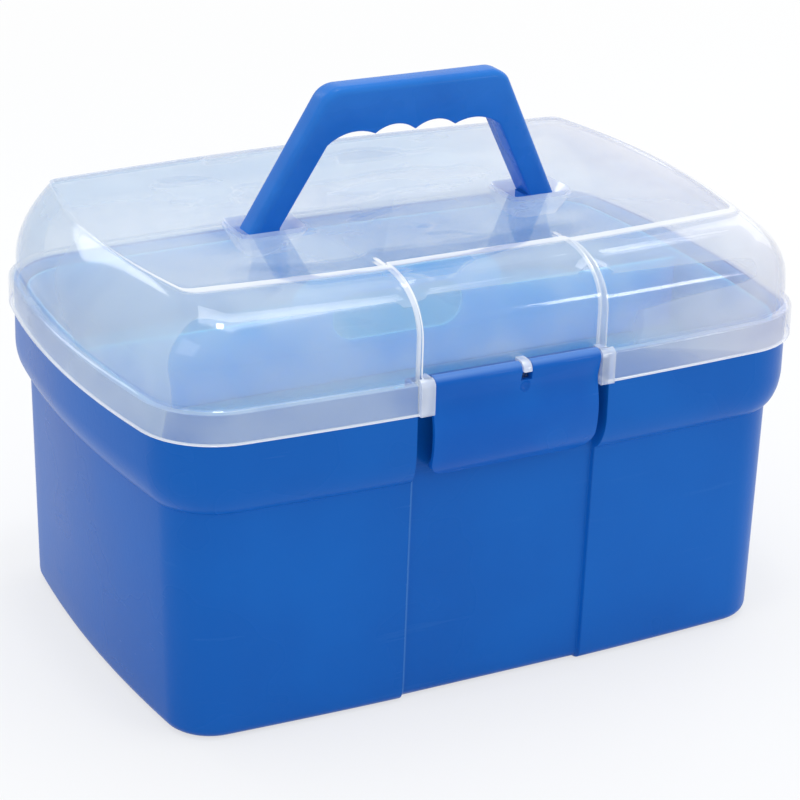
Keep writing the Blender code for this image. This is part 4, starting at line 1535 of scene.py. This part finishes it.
@dataclass
class Handle:
    """The carrying handle: splayed legs, a flat grip with finger scallops, and snap-in feet."""

    lines: CaseLines = LINES
    foot_outer: float = 0.0790
    foot_inner: float = 0.0650
    top_half: float = 0.0455
    inner_half: float = 0.0450
    inner_height: float = 0.2400
    top: float = 0.2675
    corner: float = 0.011
    depth: float = 0.0155
    rounding: float = 0.0040
    inner_rounding: float = 0.0010
    lean: float = 0.0090
    pitch: float = 0.0208
    scallops: int = 4
    cusp_height: float = 0.2432
    rise: float = 0.0036
    tenon: tuple = (0.0060, 0.0050)
    tenon_corner: float = 0.0012
    tenon_overlap: float = 0.0005
    head_grip: float = 0.0012
    head_taper: float = 0.0004
    head_height: float = 0.0022
    head_corner: float = 0.0004
    feet_sink: float = 0.0032

    @property
    def seat(self) -> float:
        """Level where the legs meet the panel."""
        return self.lines.panel_height + self.lines.running_gap

    @property
    def foot(self) -> float:
        """Level of the legs' ends, inside the cups."""
        return self.seat - self.feet_sink

    @property
    def slope(self) -> float:
        """How far the outer side of a leg leans in for each metre of height."""
        return (self.foot_outer - self.top_half) / (self.top - self.seat)

    @property
    def inner_slope(self) -> float:
        """How far the inner side of a leg leans in for each metre of height."""
        return (self.foot_inner - self.inner_half) / (self.inner_height - self.seat)

    def front_view(self) -> Profile:
        """Draw the handle from the front.

        Returns:
            Its (x, z) outline.
        """
        lean_in = math.atan(1 / self.slope)
        tangent = self.corner * math.tan(lean_in / 2)
        middle = (self.top_half - tangent, self.top - self.corner)
        outer = arc(middle, self.corner, 90 - math.degrees(lean_in), 90, 12)
        inside, outside = self.inner_slope * self.feet_sink, self.slope * self.feet_sink
        right = [(self.foot_inner + inside, self.foot), (self.foot_outer + outside, self.foot)] + outer
        left = [(-x, z) for x, z in reversed(right)]
        half = self.scallops // 2
        cusps = [(self.pitch * number, self.cusp_height) for number in range(1 - half, half)]
        stops = [(-self.inner_half, self.inner_height), *cusps, (self.inner_half, self.inner_height)]
        under: Profile = []
        for first, last in zip(stops, stops[1:]):
            under += [first] + bulge(first, last, self.rise, 12)
        return right + left + under + [stops[-1]]

    def is_outside(self, point: Vector) -> bool:
        """Tell whether a point lies on the outer side of the handle."""
        leg = self.foot_outer - self.slope * (point.z - self.seat) - self.corner / 2
        return abs(point.x) > leg or point.z > self.top - self.corner / 2

    def bar(self) -> Piece:
        """Make the bar with its rounded edges, before it leans.

        Returns:
            The bar.
        """
        half = self.depth / 2
        piece = prism("handle_bar", self.front_view(), Axis.ACROSS, -half, half)
        for outside, width, segments in ((True, self.rounding, 6), (False, self.inner_rounding, 3)):
            mesh, wanted = piece.data, []
            for edge in mesh.edges:
                first, last = (mesh.vertices[number].co for number in edge.vertices)
                on_face = abs(abs(first.y) - half) < NEAR and abs(first.y - last.y) < NEAR
                at_foot = first.z < self.foot + NEAR and last.z < self.foot + NEAR
                same = self.is_outside(first) and self.is_outside(last)
                if on_face and not at_foot and same == outside and self.bounds_side(mesh, edge):
                    wanted.append(edge.index)
            bevel_edges(piece, wanted, width, segments)
        return piece

    @staticmethod
    def bounds_side(mesh: bpy.types.Mesh, edge: bpy.types.MeshEdge) -> bool:
        """Tell whether an edge borders a face that runs through the handle's depth."""
        own = set(edge.vertices)
        return any(own <= set(face.vertices) and abs(face.normal.y) < 0.5 for face in mesh.polygons)

    def build(self) -> Piece:
        """Model the handle, dress it and let it stand for its node.

        Returns:
            The handle.
        """
        piece = self.bar()
        for vert in piece.data.vertices:
            vert.co.y -= self.lean * (vert.co.z - self.seat) / (self.top - self.seat)
        cup, gap = Lid(), self.lines.running_gap
        floor = self.lines.panel_height - cup.cup_depth
        under, tight = floor - cup.cup_wall - gap, self.head_corner
        slim, deep = cup.cup_slot[0] - gap, cup.cup_slot[1] - gap
        for side in (-1, 1):
            centre = (side * cup.cup_x, 0.0)
            stem_top = (*self.tenon, self.foot + self.tenon_overlap)
            stem = tapered("tenon", centre, stem_top, (*self.tenon, floor + gap), self.tenon_corner)
            neck_top, neck_low = (slim, deep, floor + cup.cup_wall), (slim, deep, under - self.head_height / 2)
            waist = tapered("neck", centre, neck_top, neck_low, tight)
            head_top = (slim + self.head_grip, deep, under)
            head_low = (slim, deep - self.head_taper, under - self.head_height)
            for tool in (stem, waist, tapered("snap_head", centre, head_top, head_low, tight)):
                combine(piece, tool, Cut.JOIN)
        dress(piece, HANDLE_BLUE.material())
        smooth(piece, 40.0)
        return hand_over(piece, "handle", "lid")


@dataclass
class Latch:
    """The front latch: round bead, hollow, belly, curled lower edge, notch, neck and side pins."""

    lines: CaseLines = LINES
    side_gap: float = 0.0005
    bead: float = 0.0038
    wall: float = 0.0022
    bottom: float = 0.1155
    corner: float = 0.009
    pin: float = 0.0017
    pin_reach: float = 0.0025
    notch_reach: float = 0.0046
    soft: float = 0.0005
    dimple: float = 0.0034
    dimple_depth: float = 0.0013
    dimple_drop: float = 0.0034
    dimple_face: float = 0.0017
    bends: tuple = (
        (0.0012, 0.12), (0.0019, 0.20), (0.0012, 0.31), (-0.0002, 0.48),
        (-0.0001, 0.66), (0.0012, 0.81), (0.0034, 0.92), (0.0060, 1.0),
    )
    bend_steps: int = 4
    inner_points: int = 21
    hook_toe: float = 0.0003
    hook_slope: float = 0.0010

    @property
    def half(self) -> float:
        """Half of the latch's width."""
        return self.lines.groove_half - Lid().lug_thickness - self.side_gap

    def side_view(self) -> Profile:
        """Draw the latch from the side.

        Returns:
            Its (y, z) outline.
        """
        y, z = self.lines.latch_axis
        drop, face, gap = z - self.bottom, y - self.bead, self.lines.running_gap
        outer = through([(face + out, z - down * drop) for out, down in self.bends], self.bend_steps)
        tip = self.lines.shoulder.groove_y - Tub().catch_reach - gap
        top = Tub().catch_bottom - gap
        hook = [(tip, self.bottom + self.hook_toe), (tip, top - self.wall / 2), (tip - self.hook_slope, top)]
        inner = [(out + self.wall, up) for out, up in reversed(outer[: self.inner_points])]
        return arc((y, z), self.bead, -70, 195, 30) + outer + hook + inner

    def corner_trim(self, side: int) -> Piece:
        """Make the solid that rounds one lower corner.

        Args:
            side: -1 for the left and 1 for the right.

        Returns:
            The solid.
        """
        near, far = side * (self.half - self.corner), side * (self.half + self.corner)
        low, high = self.bottom - self.corner, self.bottom + self.corner
        profile = arc((near, high), self.corner, 270, 360 if side > 0 else 180, 14)
        profile += [(far, high), (far, low), (near, low)]
        back = self.lines.shoulder.groove_y - Tub().catch_reach
        return prism("corner_trim", profile, Axis.ACROSS, self.lines.lip.front_y() - 4 * self.wall, back)

    def dent(self) -> Piece:
        """Make the ball that presses the dimple under the notch.

        Returns:
            The ball, with its place in its mesh.
        """
        y, z = self.lines.latch_axis
        face = y - self.bead + self.dimple_face
        spot = (Lid().finger_x, face - self.dimple + self.dimple_depth, z - self.notch_reach - self.dimple_drop)
        deselect()
        bpy.ops.mesh.primitive_uv_sphere_add(segments=32, ring_count=16, radius=self.dimple, location=spot)
        ball = bpy.context.object
        bpy.ops.object.transform_apply(location=True, rotation=True, scale=True)
        return ball

    def build(self) -> Piece:
        """Model the latch, dress it and let it stand for its node.

        Returns:
            The latch.
        """
        (y, z), lid = self.lines.latch_axis, Lid()
        piece = prism("latch_plate", self.side_view(), Axis.ALONG, -self.half, self.half)
        for side in (-1, 1):
            combine(piece, self.corner_trim(side), Cut.REMOVE)
        low = lid.finger_x - lid.finger_width / 2 - lid.finger_gap
        high = lid.finger_x + lid.finger_width / 2 + lid.finger_gap
        near, far, under, over = y - 2 * self.bead, y + 2 * self.bead, z - self.notch_reach, z + self.notch_reach
        notch = [(near, under), (far, under), (far, over), (near, over)]
        combine(piece, prism("notch", notch, Axis.ALONG, low, high), Cut.REMOVE)
        soften(piece, self.soft, 3, 50.0)
        neck = rod("latch_neck", Vector((lid.finger_x, y, z)), lid.neck, high - low + 2 * lid.finger_gap)
        pins = [rod("latch_pin", Vector((side * self.half, y, z)), self.pin, 2 * self.pin_reach) for side in (-1, 1)]
        for tool in (neck, *pins):
            combine(piece, tool, Cut.JOIN)
        combine(piece, self.dent(), Cut.REMOVE)
        dress(piece, LATCH_BLUE.material())
        smooth(piece, 40.0)
        return hand_over(piece, "latch", "latch")


@dataclass
class Tray:
    """The lift-out tray: a shallow pan with a lengthways divider that rises into a grip."""

    lines: CaseLines = LINES
    out: float = 0.0005
    wall: float = 0.0018
    top: float = 0.1565
    fillet: float = 0.0010
    clearance: float = 0.0010
    flare: float = 0.0010
    divider: float = 0.0020
    soft: float = 0.0004
    grip_half: float = 0.041
    grip_top: float = 0.1720
    slot_half: float = 0.035
    slot_radius: float = 0.0115
    slot_height: float = 0.1500

    @property
    def bottom(self) -> float:
        """Level of the tray's underside on the tub's ledge."""
        return self.lines.ledge_height + self.lines.running_gap

    @property
    def outline(self) -> Outline:
        """The tray's outer outline."""
        lines = self.lines
        return replace(
            lines.shoulder.inset(-self.out),
            groove_half=lines.collar_groove_half + lines.tub_wall + self.flare + self.clearance,
            groove_y=lines.shoulder.groove_y + lines.tub_wall + self.clearance,
        )

    def pan(self) -> Piece:
        """Make the pan with its rounded rim.

        Returns:
            The pan.
        """
        outer, wall, rings = self.outline, self.wall, []
        for inset, rise in foot_steps(self.fillet, range(0, 91, 30)):
            rings.append(outer.inset(inset, 0.0, inset).ring(self.bottom + rise))
        for inset, rise in lip_steps(wall / 2):
            rings.append(outer.inset(inset, inset, inset).ring(self.top - wall / 2 + rise))
        inner = outer.inset(wall, wall, wall)
        for inset, rise in foot_steps(self.fillet, range(90, -1, -30)):
            rings.append(inner.inset(inset, 0.0, inset).ring(self.bottom + wall + rise))
        return loft("tray_pan", rings)

    def plate(self) -> Piece:
        """Make the divider with its raised grip.

        Returns:
            The divider.
        """
        end, corner = self.outline.half_length - self.wall / 2, self.grip_top - self.top
        low = self.top - self.wall
        right = [(end, self.bottom + self.wall / 2), (end, low), (self.grip_half + corner, low)]
        right += arc((self.grip_half, self.top), corner, 0, 90, 12)
        profile = right + [(-x, z) for x, z in reversed(right)]
        return prism("divider", profile, Axis.ACROSS, -self.divider / 2, self.divider / 2, self.soft)

    def build(self) -> Piece:
        """Model the tray, dress it and let it stand for its node.

        Returns:
            The tray.
        """
        piece = self.pan()
        combine(piece, self.plate(), Cut.JOIN)
        centre = self.slot_half - self.slot_radius
        slot = arc((centre, self.slot_height), self.slot_radius, -90, 90, 16)
        slot += arc((-centre, self.slot_height), self.slot_radius, 90, 270, 16)
        combine(piece, prism("grip_slot", slot, Axis.ACROSS, -2 * self.divider, 2 * self.divider), Cut.REMOVE)
        dress(piece, TRAY_BLUE.material())
        smooth(piece)
        return hand_over(piece, "tray", "tray")


@dataclass(frozen=True)
class View:
    """The camera, in metres and degrees."""

    azimuth: float = -28.06
    elevation: float = 22.71
    distance: float = 1.2133
    target: Triple = (-0.0070, -0.0180, 0.1108)
    lens: float = 114.22
    sensor: float = 36.0
    roll: float = 1.63

    def build(self) -> None:
        """Add the camera and make it the scene's own."""
        turn, climb = math.radians(self.azimuth), math.radians(self.elevation)
        back = Vector((math.sin(turn) * math.cos(climb), -math.cos(turn) * math.cos(climb), math.sin(climb)))
        right = (-back).cross(Vector((0.0, 0.0, 1.0))).normalized()
        up = right.cross(-back)
        roll = math.radians(self.roll)
        side = math.cos(roll) * right + math.sin(roll) * up
        top = -math.sin(roll) * right + math.cos(roll) * up
        place = Vector(self.target) + back * self.distance
        data = bpy.data.cameras.new("camera")
        data.lens = self.lens
        data.sensor_width = self.sensor
        data.clip_end = 50.0
        camera = bpy.data.objects.new("camera", data)
        bpy.context.scene.collection.objects.link(camera)
        camera.matrix_world = Matrix.Translation(place) @ Matrix((side, top, back)).transposed().to_4x4()
        bpy.context.scene.camera = camera


@dataclass(frozen=True)
class Lamp:
    """A flat soft lamp."""

    name: str
    place: Triple
    width: float
    height: float
    power: float
    aim: Triple = (0.0, 0.0, 0.12)

    def build(self) -> None:
        """Add the lamp and turn it to its aim."""
        deselect()
        bpy.ops.object.light_add(type="AREA", location=self.place)
        lamp = bpy.context.object
        lamp.name = self.name
        lamp.data.shape = "RECTANGLE"
        lamp.data.size, lamp.data.size_y, lamp.data.energy = self.width, self.height, self.power
        lamp.rotation_euler = (Vector(self.aim) - Vector(self.place)).to_track_quat("-Z", "Y").to_euler()


LAMPS = (
    Lamp("overhead", (-0.09, -0.23, 1.70), 0.20, 0.20, 2.6),
    Lamp("canopy", (0.10, 0.10, 2.20), 1.60, 1.20, 11.0),
    Lamp("window", (0.90, -1.30, 0.52), 0.34, 0.20, 1.3),
    Lamp("rim", (0.88, 0.58, 1.27), 0.16, 0.16, 0.25),
    Lamp("left", (-1.30, -0.35, 0.90), 0.80, 0.60, 1.0),
    Lamp("right", (1.25, 0.55, 0.85), 0.90, 0.70, 2.2),
    Lamp("back_left", (-0.56, 1.20, 0.84), 0.20, 0.55, 0.8),
)


@dataclass(frozen=True)
class Studio:
    """The pale floor, the white surroundings and the lamps."""

    ambient: float = 0.80
    sky: Colour = (0.97, 0.985, 1.0)
    floor_half: float = 12.0
    floor_white: Colour = (0.86, 0.87, 0.88)
    fade: Pair = (0.55, 1.6)
    glow: Pair = (0.66, 1.0)

    def world(self) -> None:
        """Add white surroundings, plain to the camera and in reflections, softer as light."""
        world = bpy.data.worlds.new("studio")
        bpy.context.scene.world = world
        world.use_nodes = True
        world.node_tree.nodes.clear()
        nodes = Nodes(world.node_tree)
        light = nodes.add("ShaderNodeBackground")
        strength = nodes.ramp(nodes.seen(), 0.0, 1.0, self.ambient, 1.0)
        nodes.settle(light, Color=(*self.sky, 1.0), Strength=strength)
        nodes.feed(nodes.add("ShaderNodeOutputWorld"), "Surface", light.outputs[0])

    def floor(self) -> None:
        """Add a pale floor that keeps the object's shadow and turns white away from it."""
        deselect()
        bpy.ops.mesh.primitive_plane_add(size=2 * self.floor_half, location=(0.0, 0.0, 0.0))
        floor = bpy.context.object
        floor.name = "floor"
        bpy.ops.object.mode_set(mode="EDIT")
        bpy.ops.mesh.subdivide(number_cuts=8)
        bpy.ops.object.mode_set(mode="OBJECT")
        material, nodes, both = new_material("floor_white", "ShaderNodeMixShader")
        matt = nodes.add("ShaderNodeBsdfDiffuse")
        nodes.feed(matt, "Color", (*self.floor_white, 1.0))
        glow = nodes.add("ShaderNodeEmission")
        nodes.feed(glow, "Color", (1.0, 1.0, 1.0, 1.0))
        away = nodes.add("ShaderNodeVectorMath", operation="LENGTH")
        nodes.feed(away, 0, nodes.spot())
        share = nodes.ramp(away.outputs["Value"], *self.fade, *self.glow)
        for number, value in enumerate((nodes.product(share, nodes.seen()), matt.outputs[0], glow.outputs[0])):
            nodes.feed(both, number, value)
        floor.data.materials.append(material)

    def build(self) -> None:
        """Set the stage."""
        self.world()
        self.floor()
        for lamp in LAMPS:
            lamp.build()


def report(piece: Piece) -> None:
    """Log one piece with its size."""
    sizes = " x ".join(f"{1000 * size:.1f}" for size in piece.dimensions)
    log.info("%s: %d faces, %s mm", piece.name, len(piece.data.polygons), sizes)


def main() -> None:
    """Build the case, its camera and its studio."""
    logging.basicConfig(level=logging.INFO, format="%(message)s")
    bpy.context.scene.view_settings.view_transform = "Standard"
    for maker in (Tub(), Tray(), Lid(), Handle(), Latch()):
        report(maker.build())
    View().build()
    Studio().build()


if __name__ == "__main__":
    main()
